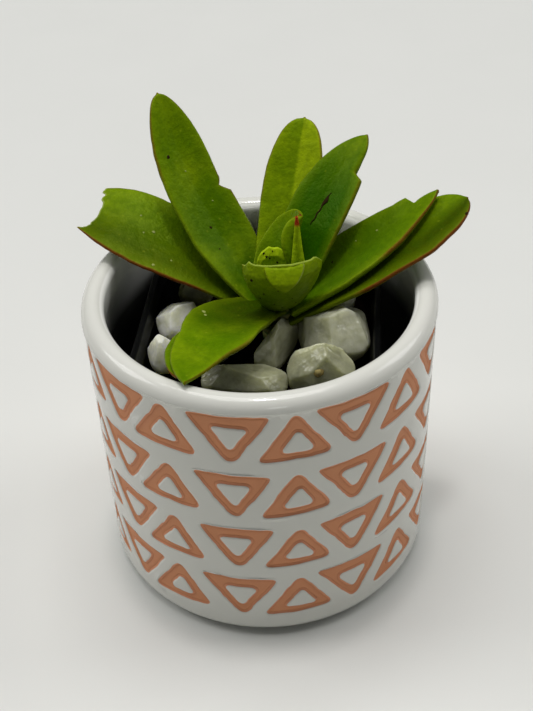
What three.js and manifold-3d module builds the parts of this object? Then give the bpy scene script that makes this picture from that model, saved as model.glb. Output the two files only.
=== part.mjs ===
// A small succulent rosette in a straight-sided glazed pot: the planted nursery pot stands loose inside
// the ceramic one, and white quartz pebbles cover the soil round the stem.
// Millimetres, +Z up. The origin is on the pot's axis, at the surface that it stands on.

import * as THREE from 'three';
import { mergeVertices } from 'three/addons/utils/BufferGeometryUtils.js';
import Module from 'manifold-3d';

const wasm = await Module();
wasm.setup();

// ---------------------------------------------------------------- driving dimensions

const GAP = 0.3;                 // clear space between pieces that rest on each other

const POT = {
  outerRadius: 42.5,
  height: 78.5,
  innerRadius: 36.9,             // at the lip, the narrowest place of the inside
  wallRadius: 37.6,              // inside, below the lip
  lipDrop: 7,                    // the lip is full for this far down the wall
  lipOuterRound: 3.4,
  lipInnerRound: 2.0,
  footRound: 5.4,
  floor: 5.6,
  floorRound: 4,
  segments: 72,
};

const NURSERY = {                // a square plastic pot with round corners
  turn: -7,                      // degrees, as it happens to stand
  rimHalf: 28.4,
  rimCorner: 12,
  baseHalf: 21.5,
  baseCorner: 8,
  wall: 1,
  rimZ: 69,
  flange: 0.9,
  flangeDrop: 2.2,
  cornerSteps: 5,
  drainRadius: 3.5,
  drainOffset: 12,
  drainSides: 12,
};

const SOIL = {
  topZ: 60.5,
  dome: 0.8,                     // the top rises by this much from the wall
  domeRun: 4,                    // over this distance from the wall
};

const STEM = {
  x: 4.5,
  y: 1.5,
  bottomZ: 50,
  topZ: 74,
  lowRadius: 3.2,
  midRadius: 4.4,
  midShare: 0.55,                // the stem is full from this share of its height
  crown: 4,                      // and narrows over this last stretch
  topRadius: 2.4,
  sides: 16,
};

const LEAF_ROWS = 14;            // steps along a leaf
const LEAF_COLUMNS = 6;          // steps across it
const LEAF_UPPER_SHARE = 0.35;   // how much of the thickness lies above the leaf's middle sheet
const MARGIN_SHARE = 0.18;       // thickness left at the margin
const LEAF_SPINE_STEPS = 40;     // steps of a leaf's centre line
const LEAF_SWELL = 1.3;          // how slowly a leaf swells from its base
const LEAST_WIDTH_SHARE = 0.04;  // width left at the very tip
const TIP_THICK_SHARE = 0.35;    // thickness left where the leaf is narrowest
const FULL_THICK_WIDTH = 1.2;    // the thickness is full once the width share times this reaches 1

// Each leaf grows from its root along a line that starts at `heading` (degrees from +X towards +Y) and
// `rise` (degrees above level), and turns by `sweep` to `riseEnd` at the tip. `base`, `widest`, `fall`
// and `blunt` shape its outline, `cup` (half angle) and `roll` its section. A bite is
// [side, from, to, depth at from, depth at to], with side 1 on the left of the heading. `torn` gives how
// far the leaf goes at places across it, from the right margin (-1) to the left one (1), and `whole` how
// long it was before it tore, as a share of what is left.
const LEAVES = {
  leaf_front_torn: {
    root: [5, 0, 72], heading: -80, sweep: 0, rise: 35, riseEnd: 95, length: 21.5, width: 22,
    thick: 2.4, base: 0.45, widest: 0.85, fall: 3, blunt: 2, cup: 50, cupEnd: 55, roll: 0, whole: 1.12,
    torn: [[-1, 0.94], [-0.93, 0.98], [-0.75, 0.96], [-0.2, 0.985], [0.3, 0.97], [0.62, 0.94],
      [0.7, 0.96], [0.85, 0.87], [1, 0.78]],
  },
  leaf_heart_spear: {
    root: [9.6, 1, 75.5], heading: -80, sweep: 0, rise: 96, riseEnd: 92, length: 20.4, width: 3.8,
    thick: 2.6, base: 0.98, widest: 0.05, fall: 1.2, blunt: 1.05, cup: 50, cupEnd: 50, roll: 0,
  },
  leaf_heart_hood: {
    root: [4.5, 4, 73], heading: 85, sweep: -100, rise: 60, riseEnd: 70, length: 21, width: 15,
    thick: 2, base: 0.85, widest: 0.6, fall: 2, blunt: 2, cup: 50, cupEnd: 60, roll: -10,
  },
  leaf_heart_stub: {
    root: [4, 3.5, 74], heading: 90, sweep: 0, rise: 80, riseEnd: 85, length: 12, width: 8.6,
    thick: 3.2, base: 0.6, widest: 0.7, fall: 3, blunt: 2, cup: 40, cupEnd: 35, roll: 0, whole: 1.15,
    torn: [[-1, 0.78], [-0.7, 0.93], [-0.45, 0.88], [-0.2, 0.97], [0.1, 0.9], [0.4, 1], [0.7, 0.92],
      [1, 0.8]],
  },
  leaf_back_left_tall: {
    root: [2, 3, 71], heading: 133, sweep: -12, rise: 30, riseEnd: 62, length: 58, width: 17,
    thick: 3, base: 0.55, widest: 0.38, fall: 2.3, blunt: 1.8, cup: 30, cupEnd: 15, roll: 0,
    bites: [[-1, 0.51, 0.55, 0, 0.26], [-1, 0.55, 0.58, 0.26, 0.13], [-1, 0.58, 0.85, 0.13, 0]],
  },
  leaf_right_upper: {
    root: [7, 1, 71], heading: 17, sweep: 10, rise: 27, riseEnd: 30, length: 45.5, width: 18,
    thick: 3, base: 0.65, widest: 0.42, fall: 1.5, blunt: 1.3, cup: 35, cupEnd: 25, roll: -4,
    bites: [[1, 0.78, 0.86, 0, -0.2], [1, 0.86, 0.865, -0.2, 0.55], [1, 0.865, 0.9, 0.55, 0.4],
      [1, 0.9, 1, 0.4, 0.2]],
  },
  leaf_back_right: {
    root: [6, 3, 71], heading: 58, sweep: -24, rise: 50, riseEnd: 42, length: 45, width: 16.6,
    thick: 3, base: 0.68, widest: 0.55, fall: 2, blunt: 1.4, cup: 30, cupEnd: 20, roll: 0,
    bites: [[-1, 0.77, 0.79, 0, 0.42], [-1, 0.79, 0.86, 0.42, 0.34], [-1, 0.86, 1, 0.34, 0]],
  },
  leaf_back: {
    root: [4, 4, 70], heading: 77, sweep: -8, rise: 42, riseEnd: 52, length: 46.5, width: 14.4,
    thick: 3, base: 0.8, widest: 0.6, fall: 2.6, blunt: 2, cup: 30, cupEnd: 22, roll: 0,
  },
  leaf_left_broken: {
    root: [0, 6, 70], heading: 155, sweep: -1, rise: 30, riseEnd: 8, length: 50, width: 21,
    thick: 3, base: 0.5, widest: 0.55, fall: 2.2, blunt: 2, cup: 20, cupEnd: 10, roll: -14, whole: 1.09,
    torn: [[-1, 0.965], [-0.85, 0.975], [-0.7, 0.945], [-0.55, 0.955], [-0.4, 0.935], [-0.15, 0.925],
      [0.3, 0.915], [0.7, 0.925], [1, 0.965]],
  },
  leaf_right_lower: {
    root: [7, 0, 69], heading: 7, sweep: 21, rise: 29, riseEnd: 23, length: 51.5, width: 17.6,
    thick: 3, base: 0.5, widest: 0.6, fall: 2.3, blunt: 1.8, cup: 25, cupEnd: 10, roll: 0,
  },
  leaf_front_left: {
    root: [3, 1, 71], heading: -138, sweep: 40, rise: 20, riseEnd: 4, length: 44, width: 19,
    thick: 3, base: 0.5, widest: 0.5, fall: 1.6, blunt: 1.3, cup: 25, cupEnd: 12, roll: 0,
    bites: [[-1, 0.42, 0.6, 0, 0.24], [-1, 0.6, 1, 0.24, 0]],
  },
  leaf_front_left_old: {
    root: [1, -1, 68], heading: -144, sweep: 44, rise: 24, riseEnd: 8, length: 39.5, width: 13,
    thick: 2.4, base: 0.4, widest: 0.6, fall: 1.8, blunt: 1.5, cup: 20, cupEnd: 10, roll: 0,
  },
};

// Broken quartz: [x, y, half length, half width, half height, turn in degrees]. Each lies on the soil.
const PEBBLES = [
  [-20.4, 4.6, 7.0, 5.4, 5.8, 10],
  [-23.4, -7.6, 3.9, 5.0, 5.4, 14],
  [-16.4, 17.4, 5.4, 4.4, 5.0, -20],
  [3.2, -7.6, 10.4, 4.0, 6.4, 58],
  [-3.0, -20.4, 11.6, 4.6, 5.4, -4],
  [17.2, -6.0, 9.7, 9.2, 8.4, 8],
  [12.9, -20.4, 9.0, 5.0, 8.2, 6],
  [16.8, 20.0, 6.2, 4.4, 7.6, 20],
  [2.0, 20.6, 6.4, 5.0, 4.8, -10],
  [19.4, 12.0, 6.0, 5.2, 4.8, 70],
  [-11.6, -5.0, 5.0, 4.2, 4.2, -35],
];
const PEBBLE_DETAIL = 2;
const CLEAVAGE = {
  cuts: 13,                      // flat faces on each pebble
  turn: 1.7,                     // radians between the faces of one pebble and those of the next
  depth: 0.8,                    // how far out a face lies, as a share of the half size
  depthSpread: 0.12,
  pebbleStep: 2.3,               // how the depths drift from pebble to pebble and from face to face
  faceStep: 4.1,
  leastFacing: 0.05,             // a face doesn't cut what it hardly faces
};

const COLOURS = {
  glaze: 0xe8e8e4,
  plastic: 0x1c1c1d,
  soil: 0x2b2119,
  stem: 0x6d7a35,
  leaf: 0x5f8a14,
  quartz: 0xd6d8ce,
};

// ---------------------------------------------------------------- small helpers

const UP = new THREE.Vector3(0, 0, 1);
const radians = THREE.MathUtils.degToRad;
const lerp = THREE.MathUtils.lerp;

function finish(name, colour, roughness, geometry) {
  const material = new THREE.MeshStandardMaterial({ color: colour, roughness, metalness: 0 });
  const mesh = new THREE.Mesh(geometry, material);
  mesh.name = name;
  return mesh;
}

function toSolid(geometry) {
  const bare = geometry.clone();
  bare.deleteAttribute('normal');
  bare.deleteAttribute('uv');
  const merged = mergeVertices(bare, 1e-4);
  return new wasm.Manifold(new wasm.Mesh({
    numProp: 3,
    vertProperties: new Float32Array(merged.attributes.position.array),
    triVerts: new Uint32Array(merged.index.array),
  }));
}

function toGeometry(solid) {
  const mesh = solid.getMesh();
  const geometry = new THREE.BufferGeometry();
  geometry.setAttribute('position', new THREE.BufferAttribute(new Float32Array(mesh.vertProperties), 3));
  geometry.setIndex(Array.from(mesh.triVerts));
  geometry.computeVertexNormals();
  return geometry;
}

function largestPart(solid) {
  const parts = solid.decompose();
  parts.sort((a, b) => b.volume() - a.volume());
  return parts[0];
}

// A profile point [radius, z] list is turned round the Z axis.
function turned(profile, segments) {
  const points = profile.map(([radius, z]) => new THREE.Vector2(radius, z));
  const geometry = new THREE.LatheGeometry(points, segments);
  geometry.rotateX(Math.PI / 2);
  return geometry;
}

// Points of an arc round a centre in the profile plane, from one angle to another in degrees.
function arc(centreRadius, centreZ, radius, from, to, steps) {
  const points = [];
  for (let i = 0; i <= steps; i += 1) {
    const angle = radians(lerp(from, to, i / steps));
    points.push([centreRadius + radius * Math.cos(angle), centreZ + radius * Math.sin(angle)]);
  }
  return points;
}

// Stacks closed rings of equal length into one skin and caps its two ends with fans.
function skin(rings) {
  const count = rings[0].length;
  const positions = rings.flat().flatMap((p) => [p.x, p.y, p.z]);
  const index = [];
  for (let r = 0; r < rings.length - 1; r += 1) {
    for (let i = 0; i < count; i += 1) {
      const a = r * count + i;
      const b = r * count + ((i + 1) % count);
      index.push(a, b, b + count, a, b + count, a + count);
    }
  }
  const last = (rings.length - 1) * count;
  for (let i = 1; i < count - 1; i += 1) {
    index.push(0, i + 1, i);
    index.push(last, last + i, last + i + 1);
  }
  const geometry = new THREE.BufferGeometry();
  geometry.setAttribute('position', new THREE.Float32BufferAttribute(positions, 3));
  geometry.setIndex(index);
  return geometry;
}

// ---------------------------------------------------------------- ceramic pot

function ceramicPot() {
  const p = POT;
  const top = p.height;
  const profile = [
    [0, 0],
    ...arc(p.outerRadius - p.footRound, p.footRound, p.footRound, -90, 0, 5),
    ...arc(p.outerRadius - p.lipOuterRound, top - p.lipOuterRound, p.lipOuterRound, 0, 90, 5),
    ...arc(p.innerRadius + p.lipInnerRound, top - p.lipInnerRound, p.lipInnerRound, 90, 180, 4),
    [p.wallRadius, top - p.lipDrop],
    ...arc(p.wallRadius - p.floorRound, p.floor + p.floorRound, p.floorRound, 0, -90, 3),
    [0, p.floor],
  ];
  return finish('ceramic_pot', COLOURS.glaze, 0.2, turned(profile, p.segments));
}

// ---------------------------------------------------------------- nursery pot and soil

// A square ring with round corners, at one height.
function squareRing(half, corner, z) {
  const ring = [];
  const centre = half - corner;
  const signs = [[1, 1], [-1, 1], [-1, -1], [1, -1]];
  signs.forEach(([sx, sy], quarter) => {
    for (let i = 0; i <= NURSERY.cornerSteps; i += 1) {
      const angle = radians(90 * (quarter + i / NURSERY.cornerSteps));
      const x = sx * centre + corner * Math.cos(angle);
      const y = sy * centre + corner * Math.sin(angle);
      ring.push(new THREE.Vector3(x, y, z).applyAxisAngle(UP, radians(NURSERY.turn)));
    }
  });
  return ring;
}

const NURSERY_BASE_Z = POT.floor + GAP;

// The tapering outside of the nursery pot, moved in by `inset`, at height z.
function nurseryRing(z, inset) {
  const share = (z - NURSERY_BASE_Z) / (NURSERY.rimZ - NURSERY_BASE_Z);
  const half = lerp(NURSERY.baseHalf, NURSERY.rimHalf, share);
  const corner = lerp(NURSERY.baseCorner, NURSERY.rimCorner, share);
  return squareRing(half - inset, corner - inset, z);
}

function nurseryPot() {
  const n = NURSERY;
  const flangeZ = n.rimZ - n.flangeDrop;
  const shell = toSolid(skin([
    nurseryRing(NURSERY_BASE_Z, 0),
    nurseryRing(flangeZ - n.flange, 0),
    nurseryRing(flangeZ, -n.flange),
    nurseryRing(n.rimZ, -n.flange),
    nurseryRing(n.rimZ, n.wall),
    nurseryRing(NURSERY_BASE_Z + n.wall, n.wall),
  ]));
  const drainLength = 6 * n.wall;
  const drain = new THREE.CylinderGeometry(n.drainRadius, n.drainRadius, drainLength, n.drainSides);
  drain.rotateX(Math.PI / 2);
  let pot = shell;
  for (const [sx, sy] of [[1, 1], [-1, 1], [-1, -1], [1, -1]]) {
    const hole = drain.clone().translate(sx * n.drainOffset, sy * n.drainOffset, NURSERY_BASE_Z);
    pot = pot.subtract(toSolid(hole.rotateZ(radians(n.turn))));
  }
  return finish('nursery_pot', COLOURS.plastic, 0.5, toGeometry(pot));
}

function stemGeometry(grow) {
  const s = STEM;
  const middle = lerp(s.bottomZ, s.topZ, s.midShare);
  const profile = [
    [0, s.bottomZ - grow],
    [s.lowRadius + grow, s.bottomZ - grow],
    [s.midRadius + grow, middle],
    [s.midRadius + grow, s.topZ - s.crown],
    [s.topRadius + grow, s.topZ + grow],
    [0, s.topZ + grow],
  ];
  return turned(profile, s.sides).translate(s.x, s.y, 0);
}

function pottingSoil(stemHole) {
  const bottom = NURSERY_BASE_Z + NURSERY.wall + GAP;
  const inset = NURSERY.wall + GAP;
  const block = toSolid(skin([
    nurseryRing(bottom, inset),
    nurseryRing(SOIL.topZ - SOIL.dome, inset),
    nurseryRing(SOIL.topZ, inset + SOIL.domeRun),
  ]));
  return finish('potting_soil', COLOURS.soil, 0.95, toGeometry(block.subtract(stemHole)));
}

// ---------------------------------------------------------------- leaves

// Straight-line reading of a list of [place, value] pairs.
function along(pairs, place) {
  if (place <= pairs[0][0]) return pairs[0][1];
  for (let i = 1; i < pairs.length; i += 1) {
    const [p0, v0] = pairs[i - 1];
    const [p1, v1] = pairs[i];
    if (place <= p1) return lerp(v0, v1, (place - p0) / (p1 - p0));
  }
  return pairs[pairs.length - 1][1];
}

// Half width of the whole leaf at s (0 root, 1 tip), as a share of its widest half width.
function outline(leaf, s) {
  const place = s / (leaf.whole ?? 1);
  if (place < leaf.widest) {
    return lerp(leaf.base, 1, Math.sin((Math.PI / 2) * (place / leaf.widest)) ** LEAF_SWELL);
  }
  const beyond = (place - leaf.widest) / (1 - leaf.widest);
  return Math.max(LEAST_WIDTH_SHARE, Math.max(0, 1 - beyond ** leaf.fall) ** (1 / leaf.blunt));
}

function bitten(leaf, s, side) {
  let left = 1;
  for (const [biteSide, from, to, depthFrom, depthTo] of leaf.bites ?? []) {
    if (biteSide === side && s >= from && s <= to) {
      left = 1 - lerp(depthFrom, depthTo, (s - from) / (to - from));
    }
  }
  return left;
}

// The leaf's centre line with its own axes at each step: along it, to its left, and out of its upper face.
function leafSpine(leaf, steps) {
  const frames = [];
  const place = new THREE.Vector3(...leaf.root);
  for (let i = 0; i <= steps; i += 1) {
    const s = i / steps;
    const heading = radians(leaf.heading + leaf.sweep * s);
    const rise = radians(lerp(leaf.rise, leaf.riseEnd, s));
    const tangent = new THREE.Vector3(
      Math.cos(rise) * Math.cos(heading), Math.cos(rise) * Math.sin(heading), Math.sin(rise));
    const side = new THREE.Vector3(-Math.sin(heading), Math.cos(heading), 0);
    side.applyAxisAngle(tangent, radians(leaf.roll));
    const up = new THREE.Vector3().crossVectors(tangent, side);
    frames.push({ place: place.clone(), side, up });
    place.addScaledVector(tangent, leaf.length / steps);
  }
  return frames;
}

function frameAt(frames, s) {
  const x = Math.min(s, 1) * (frames.length - 1);
  const i = Math.min(Math.floor(x), frames.length - 2);
  const mix = (key) => frames[i][key].clone().lerp(frames[i + 1][key], x - i);
  return { place: mix('place'), side: mix('side'), up: mix('up') };
}

// One closed leaf. `grow` makes the same leaf larger all round, to cut clearance for it.
function leafSolid(leaf, grow) {
  const frames = leafSpine(leaf, LEAF_SPINE_STEPS);
  const upper = [];
  const lower = [];
  for (let i = 0; i <= LEAF_ROWS; i += 1) {
    for (let j = 0; j <= LEAF_COLUMNS; j += 1) {
      const v = -1 + (2 * j) / LEAF_COLUMNS;
      const reach = leaf.torn ? along(leaf.torn, v) : 1;
      const s = (reach * i) / LEAF_ROWS;
      const share = outline(leaf, s);
      const half = share * (leaf.width / 2) * bitten(leaf, s, Math.sign(v)) + grow;
      const bend = radians(lerp(leaf.cup, leaf.cupEnd, s));
      const angle = v * bend;
      const frame = frameAt(frames, s);
      const point = frame.place.clone()
        .addScaledVector(frame.side, (half / bend) * Math.sin(angle))
        .addScaledVector(frame.up, (half / bend) * (1 - Math.cos(angle)));
      const normal = frame.up.clone().multiplyScalar(Math.cos(angle))
        .addScaledVector(frame.side, -Math.sin(angle));
      const across = MARGIN_SHARE + (1 - MARGIN_SHARE) * Math.sqrt(1 - v * v);
      const endwise = lerp(TIP_THICK_SHARE, 1, Math.min(1, share * FULL_THICK_WIDTH));
      const thick = leaf.thick * across * endwise + 2 * grow;
      upper.push(point.clone().addScaledVector(normal, thick * LEAF_UPPER_SHARE));
      lower.push(point.clone().addScaledVector(normal, -thick * (1 - LEAF_UPPER_SHARE)));
    }
  }
  return toSolid(sheetSkin(upper, lower));
}

// Closes an upper and a lower grid of points into one body.
function sheetSkin(upper, lower) {
  const wide = LEAF_COLUMNS + 1;
  const offset = upper.length;
  const index = [];
  const quad = (a, b, c, d) => index.push(a, b, c, a, c, d);
  for (let i = 0; i < LEAF_ROWS; i += 1) {
    for (let j = 0; j < LEAF_COLUMNS; j += 1) {
      const a = i * wide + j;
      quad(a, a + wide, a + wide + 1, a + 1);
      quad(offset + a, offset + a + 1, offset + a + wide + 1, offset + a + wide);
    }
    const right = i * wide;
    const left = right + LEAF_COLUMNS;
    quad(right, offset + right, offset + right + wide, right + wide);
    quad(left, left + wide, offset + left + wide, offset + left);
  }
  const tip = LEAF_ROWS * wide;
  for (let j = 0; j < LEAF_COLUMNS; j += 1) {
    quad(j, j + 1, offset + j + 1, offset + j);
    quad(tip + j, offset + tip + j, offset + tip + j + 1, tip + j + 1);
  }
  const geometry = new THREE.BufferGeometry();
  const positions = [...upper, ...lower].flatMap((p) => [p.x, p.y, p.z]);
  geometry.setAttribute('position', new THREE.Float32BufferAttribute(positions, 3));
  geometry.setIndex(index);
  return geometry;
}

// The leaves press together round the stem, so each gives way to the stem and to the leaves before it.
function rosette(stemClearance) {
  const meshes = [];
  let taken = stemClearance;
  for (const [name, leaf] of Object.entries(LEAVES)) {
    const solid = largestPart(leafSolid(leaf, 0).subtract(taken));
    meshes.push(finish(name, COLOURS.leaf, 0.35, toGeometry(solid)));
    taken = taken.add(leafSolid(leaf, GAP));
  }
  return { meshes, taken };
}

// ---------------------------------------------------------------- pebbles

// Flat cleavage faces in directions spread evenly over a ball, each at its own depth.
function cleavageCuts(order) {
  const c = CLEAVAGE;
  const golden = Math.PI * (3 - Math.sqrt(5));
  const cuts = [];
  for (let k = 0; k < c.cuts; k += 1) {
    const z = 1 - (2 * k + 1) / c.cuts;
    const turn = golden * k + order * c.turn;
    const flat = Math.sqrt(1 - z * z);
    const normal = new THREE.Vector3(flat * Math.cos(turn), flat * Math.sin(turn), z);
    const depth = c.depth + c.depthSpread * Math.sin(order * c.pebbleStep + k * c.faceStep);
    cuts.push({ normal, depth });
  }
  return cuts;
}

function pebble(order, [x, y, halfLength, halfWidth, halfHeight, turn], taken) {
  const geometry = new THREE.IcosahedronGeometry(1, PEBBLE_DETAIL);
  const position = geometry.attributes.position;
  const cuts = cleavageCuts(order);
  const point = new THREE.Vector3();
  for (let i = 0; i < position.count; i += 1) {
    point.fromBufferAttribute(position, i).normalize();
    let reach = 1;
    for (const { normal, depth } of cuts) {
      const facing = normal.dot(point);
      if (facing > CLEAVAGE.leastFacing) reach = Math.min(reach, depth / facing);
    }
    position.setXYZ(i, point.x * reach, point.y * reach, point.z * reach);
  }
  geometry.scale(halfLength, halfWidth, halfHeight);
  geometry.rotateZ(radians(turn));
  geometry.computeBoundingBox();
  const rest = SOIL.topZ + GAP - geometry.boundingBox.min.z;
  geometry.translate(x, y, rest);
  const solid = largestPart(toSolid(geometry).subtract(taken));
  return finish(`pebble_${String(order + 1).padStart(2, '0')}`, COLOURS.quartz, 0.45, toGeometry(solid));
}

// ---------------------------------------------------------------- the whole plant

const stemClearance = toSolid(stemGeometry(GAP));

const plant = new THREE.Group();
plant.add(ceramicPot());
plant.add(nurseryPot());
plant.add(pottingSoil(stemClearance));
plant.add(finish('stem', COLOURS.stem, 0.6, stemGeometry(0)));
const { meshes: leaves, taken: plantClearance } = rosette(stemClearance);
plant.add(...leaves);
plant.add(...PEBBLES.map((size, order) => pebble(order, size, plantClearance)));

export default plant;
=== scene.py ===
"""A succulent rosette in a white glazed pot with a relief of recessed triangles.

The pot, the nursery pot inside it, the soil, the pebbles, the stem and the leaves are each built by one
operator from the sizes and colours in the panel, in metres, around the packed frame.
"""

import math
import random

import bmesh
import bpy
import numpy as np
from mathutils import Matrix, Vector, noise


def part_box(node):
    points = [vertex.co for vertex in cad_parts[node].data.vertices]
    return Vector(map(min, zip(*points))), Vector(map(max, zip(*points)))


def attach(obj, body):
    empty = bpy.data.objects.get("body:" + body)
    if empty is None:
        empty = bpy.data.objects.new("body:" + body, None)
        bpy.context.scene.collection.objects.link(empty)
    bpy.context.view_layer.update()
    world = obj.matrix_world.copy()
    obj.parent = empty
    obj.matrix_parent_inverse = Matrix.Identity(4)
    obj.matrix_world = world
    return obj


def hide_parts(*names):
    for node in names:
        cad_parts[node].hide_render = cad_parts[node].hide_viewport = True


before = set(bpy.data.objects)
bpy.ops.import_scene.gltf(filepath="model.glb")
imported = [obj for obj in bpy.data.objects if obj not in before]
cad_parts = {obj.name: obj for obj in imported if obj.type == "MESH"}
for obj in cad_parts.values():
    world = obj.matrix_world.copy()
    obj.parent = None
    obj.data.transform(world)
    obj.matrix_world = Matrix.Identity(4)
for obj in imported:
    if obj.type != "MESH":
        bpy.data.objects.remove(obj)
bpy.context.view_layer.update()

bl_info = {
    "name": "Potted succulent",
    "version": (1, 0, 0),
    "blender": (4, 5, 0),
    "location": "View3D > Sidebar > Succulent",
    "description": "Builds a potted succulent, piece by piece, on its packed frame",
    "category": "Add Mesh",
}

MM = 0.001
BODY = "root"


# ---------------------------------------------------------------- small helpers

def linear(hex_colour):
    """Turns an sRGB hex colour into the linear colour that shaders use."""
    channels = [int(hex_colour[i:i + 2], 16) / 255 for i in (1, 3, 5)]
    return tuple(c / 12.92 if c <= 0.04045 else ((c + 0.055) / 1.055) ** 2.4 for c in channels)


def add_node(tree, kind, inputs=None, **settings):
    """Adds one node, with its settings, and a value or a link for each input."""
    node = tree.nodes.new(kind)
    for name, value in settings.items():
        setattr(node, name, value)
    for name, value in (inputs or {}).items():
        socket = node.inputs[name]
        if isinstance(value, bpy.types.NodeSocket):
            tree.links.new(value, socket)
        elif socket.type == "RGBA":
            socket.default_value = (*value[:3], 1.0)
        else:
            socket.default_value = value
    return node


def new_material(name, textures, values=()):
    """An empty node material and its tree, the value of each texture at a place on the object, and the
    mesh's own values. A texture is its kind, its scale in repeats per metre, its detail and its warp."""
    material = bpy.data.materials.new(name)
    material.use_nodes = True
    tree = material.node_tree
    tree.nodes.clear()
    place = add_node(tree, "ShaderNodeTexCoord").outputs["Object"]
    found = []
    for kind, scale, *rest in textures:
        inputs = {"Vector": place, "Scale": scale, **dict(zip(("Detail", "Distortion"), rest))}
        texture = add_node(tree, "ShaderNodeTex" + kind, inputs)
        found.append(texture.outputs["Distance" if kind == "Voronoi" else "Fac"])
    for key in values:
        found.append(add_node(tree, "ShaderNodeAttribute", attribute_name=key).outputs["Fac"])
    return material, tree, *found


def painted(tree, ground, layers):
    """A ground colour under layers of colour. A layer is the value that it follows, where the value starts
    and ends, how strong the layer is at the start and at the end, and the layer's colour."""
    for value, start, end, low, high, tone in layers:
        share = add_node(
            tree, "ShaderNodeMapRange",
            {"Value": value, "From Min": start, "From Max": end, "To Min": low, "To Max": high})
        over = add_node(
            tree, "ShaderNodeMix", {"Factor": share.outputs["Result"], "A": ground, "B": tone},
            data_type="RGBA")
        ground = over.outputs["Result"]
    return ground


def finish_material(material, inputs, *bumps):
    """Ends a material at its shader. A bump lies over the last one: its height, strength and depth in mm."""
    tree = material.node_tree
    for height, strength, depth in bumps:
        under = {"Normal": inputs["Normal"]} if "Normal" in inputs else {}
        bump = add_node(
            tree, "ShaderNodeBump", {"Height": height, "Strength": strength, "Distance": depth * MM, **under})
        inputs["Normal"] = bump.outputs["Normal"]
    shader = add_node(tree, "ShaderNodeBsdfPrincipled", inputs)
    add_node(tree, "ShaderNodeOutputMaterial", {"Surface": shader.outputs["BSDF"]})
    return material


def make_piece(name, vertices, faces, materials, replaced, face_materials=None, values=None):
    """Makes a mesh object that rides on the part's body and stands for the named nodes."""
    mesh = bpy.data.meshes.new(name)
    mesh.from_pydata([tuple(v) for v in vertices], [], [tuple(f) for f in faces])
    for material in materials:
        mesh.materials.append(material)
    if face_materials is not None:
        mesh.polygons.foreach_set("material_index", face_materials)
    for key, numbers in (values or {}).items():
        mesh.attributes.new(key, "FLOAT", "POINT").data.foreach_set("value", numbers)
    mesh.validate()
    mesh.shade_smooth()
    piece = bpy.data.objects.new(name, mesh)
    bpy.context.scene.collection.objects.link(piece)
    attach(piece, BODY)
    if replaced:
        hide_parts(*replaced)
    return piece


def weld(piece, distance=0.002 * MM):
    """Joins vertices that lie on each other, and turns every face outward."""
    work = bmesh.new()
    work.from_mesh(piece.data)
    bmesh.ops.remove_doubles(work, verts=work.verts, dist=distance)
    bmesh.ops.recalc_face_normals(work, faces=work.faces)
    work.to_mesh(piece.data)
    work.free()
    piece.data.shade_smooth()


def arc(centre_radius, centre_z, radius, start, end, steps):
    """Points (radius, z) of an arc in the profile plane, angles in degrees."""
    angles = np.radians(np.linspace(start, end, steps + 1))
    return [(centre_radius + radius * math.cos(a), centre_z + radius * math.sin(a)) for a in angles]


# ---------------------------------------------------------------- sizes and colours

def length(name, description, millimetres):
    """A length property, given in millimetres."""
    return bpy.props.FloatProperty(
        name=name, description=description, default=millimetres * MM, subtype="DISTANCE", unit="LENGTH")


def angle(name, description, degrees):
    """An angle property, given in degrees."""
    return bpy.props.FloatProperty(
        name=name, description=description, default=math.radians(degrees), subtype="ANGLE")


def colour(name, description, hex_colour):
    """A colour property, given as an sRGB hex value."""
    return bpy.props.FloatVectorProperty(
        name=name, description=description, default=linear(hex_colour), size=3, min=0, max=1,
        subtype="COLOR")


class SucculentPotSettings(bpy.types.PropertyGroup):
    """Sizes and colours of the ceramic pot."""
    pairs: bpy.props.IntProperty(
        name="Triangle pairs", description="Pairs of triangles round the pot, one up and one down", default=9)
    rows: bpy.props.IntProperty(name="Rows", description="Rows of triangles", default=4)
    row_pitch: length("Row pitch", "Height from one row to the next", 17.6)
    row_height: length("Triangle height", "Height of one triangle", 13.3)
    top_row: length("Top of first row", "Height of the top edge of the first row", 74.3)
    half_width: length("Triangle half width", "Half the width of one triangle", 9.5)
    depth: length("Relief depth", "Depth of the recess below the glaze", 0.55)
    glaze: colour("Glaze", "White glaze", "#DEDED6")
    clay: colour("Clay", "Matte clay in the recesses", "#DE9568")
    seed: bpy.props.IntProperty(name="Hand", description="Seed of the carving's unevenness", default=4)


class SucculentNurserySettings(bpy.types.PropertyGroup):
    """Sizes and colours of the plastic pot."""
    turn: angle("Turn", "How far the square pot is turned in the round one", -7)
    wall: length("Wall", "Thickness of the plastic", 0.8)
    corner: length("Rim corner", "Radius of the corners at the rim", 12)
    plastic: colour("Plastic", "Black polypropylene", "#050506")


class SucculentSoilSettings(bpy.types.PropertyGroup):
    """Sizes and colours of the soil."""
    crumbs: bpy.props.IntProperty(name="Crumbs", description="Loose crumbs on the soil", default=420)
    crumb_size: length("Crumb size", "Radius of the largest crumb", 1.3)
    dark: colour("Soil", "Damp potting mix", "#050302")
    light: colour("Fibre", "Dry fibre in the potting mix", "#120D09")


class SucculentPebbleSettings(bpy.types.PropertyGroup):
    """Colours of the quartz."""
    quartz: colour("Quartz", "Milky quartz", "#F4F4E4")
    vein: colour("Vein", "Greyer, glassier quartz", "#BEC0A6")
    stain: colour("Stain", "Iron stain in the quartz", "#8C7A3C")
    roughness: bpy.props.FloatProperty(
        name="Surface roughness", description="Depth of the broken surface, as a share of a pebble's size",
        default=0.012, min=0, max=0.2)


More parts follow.
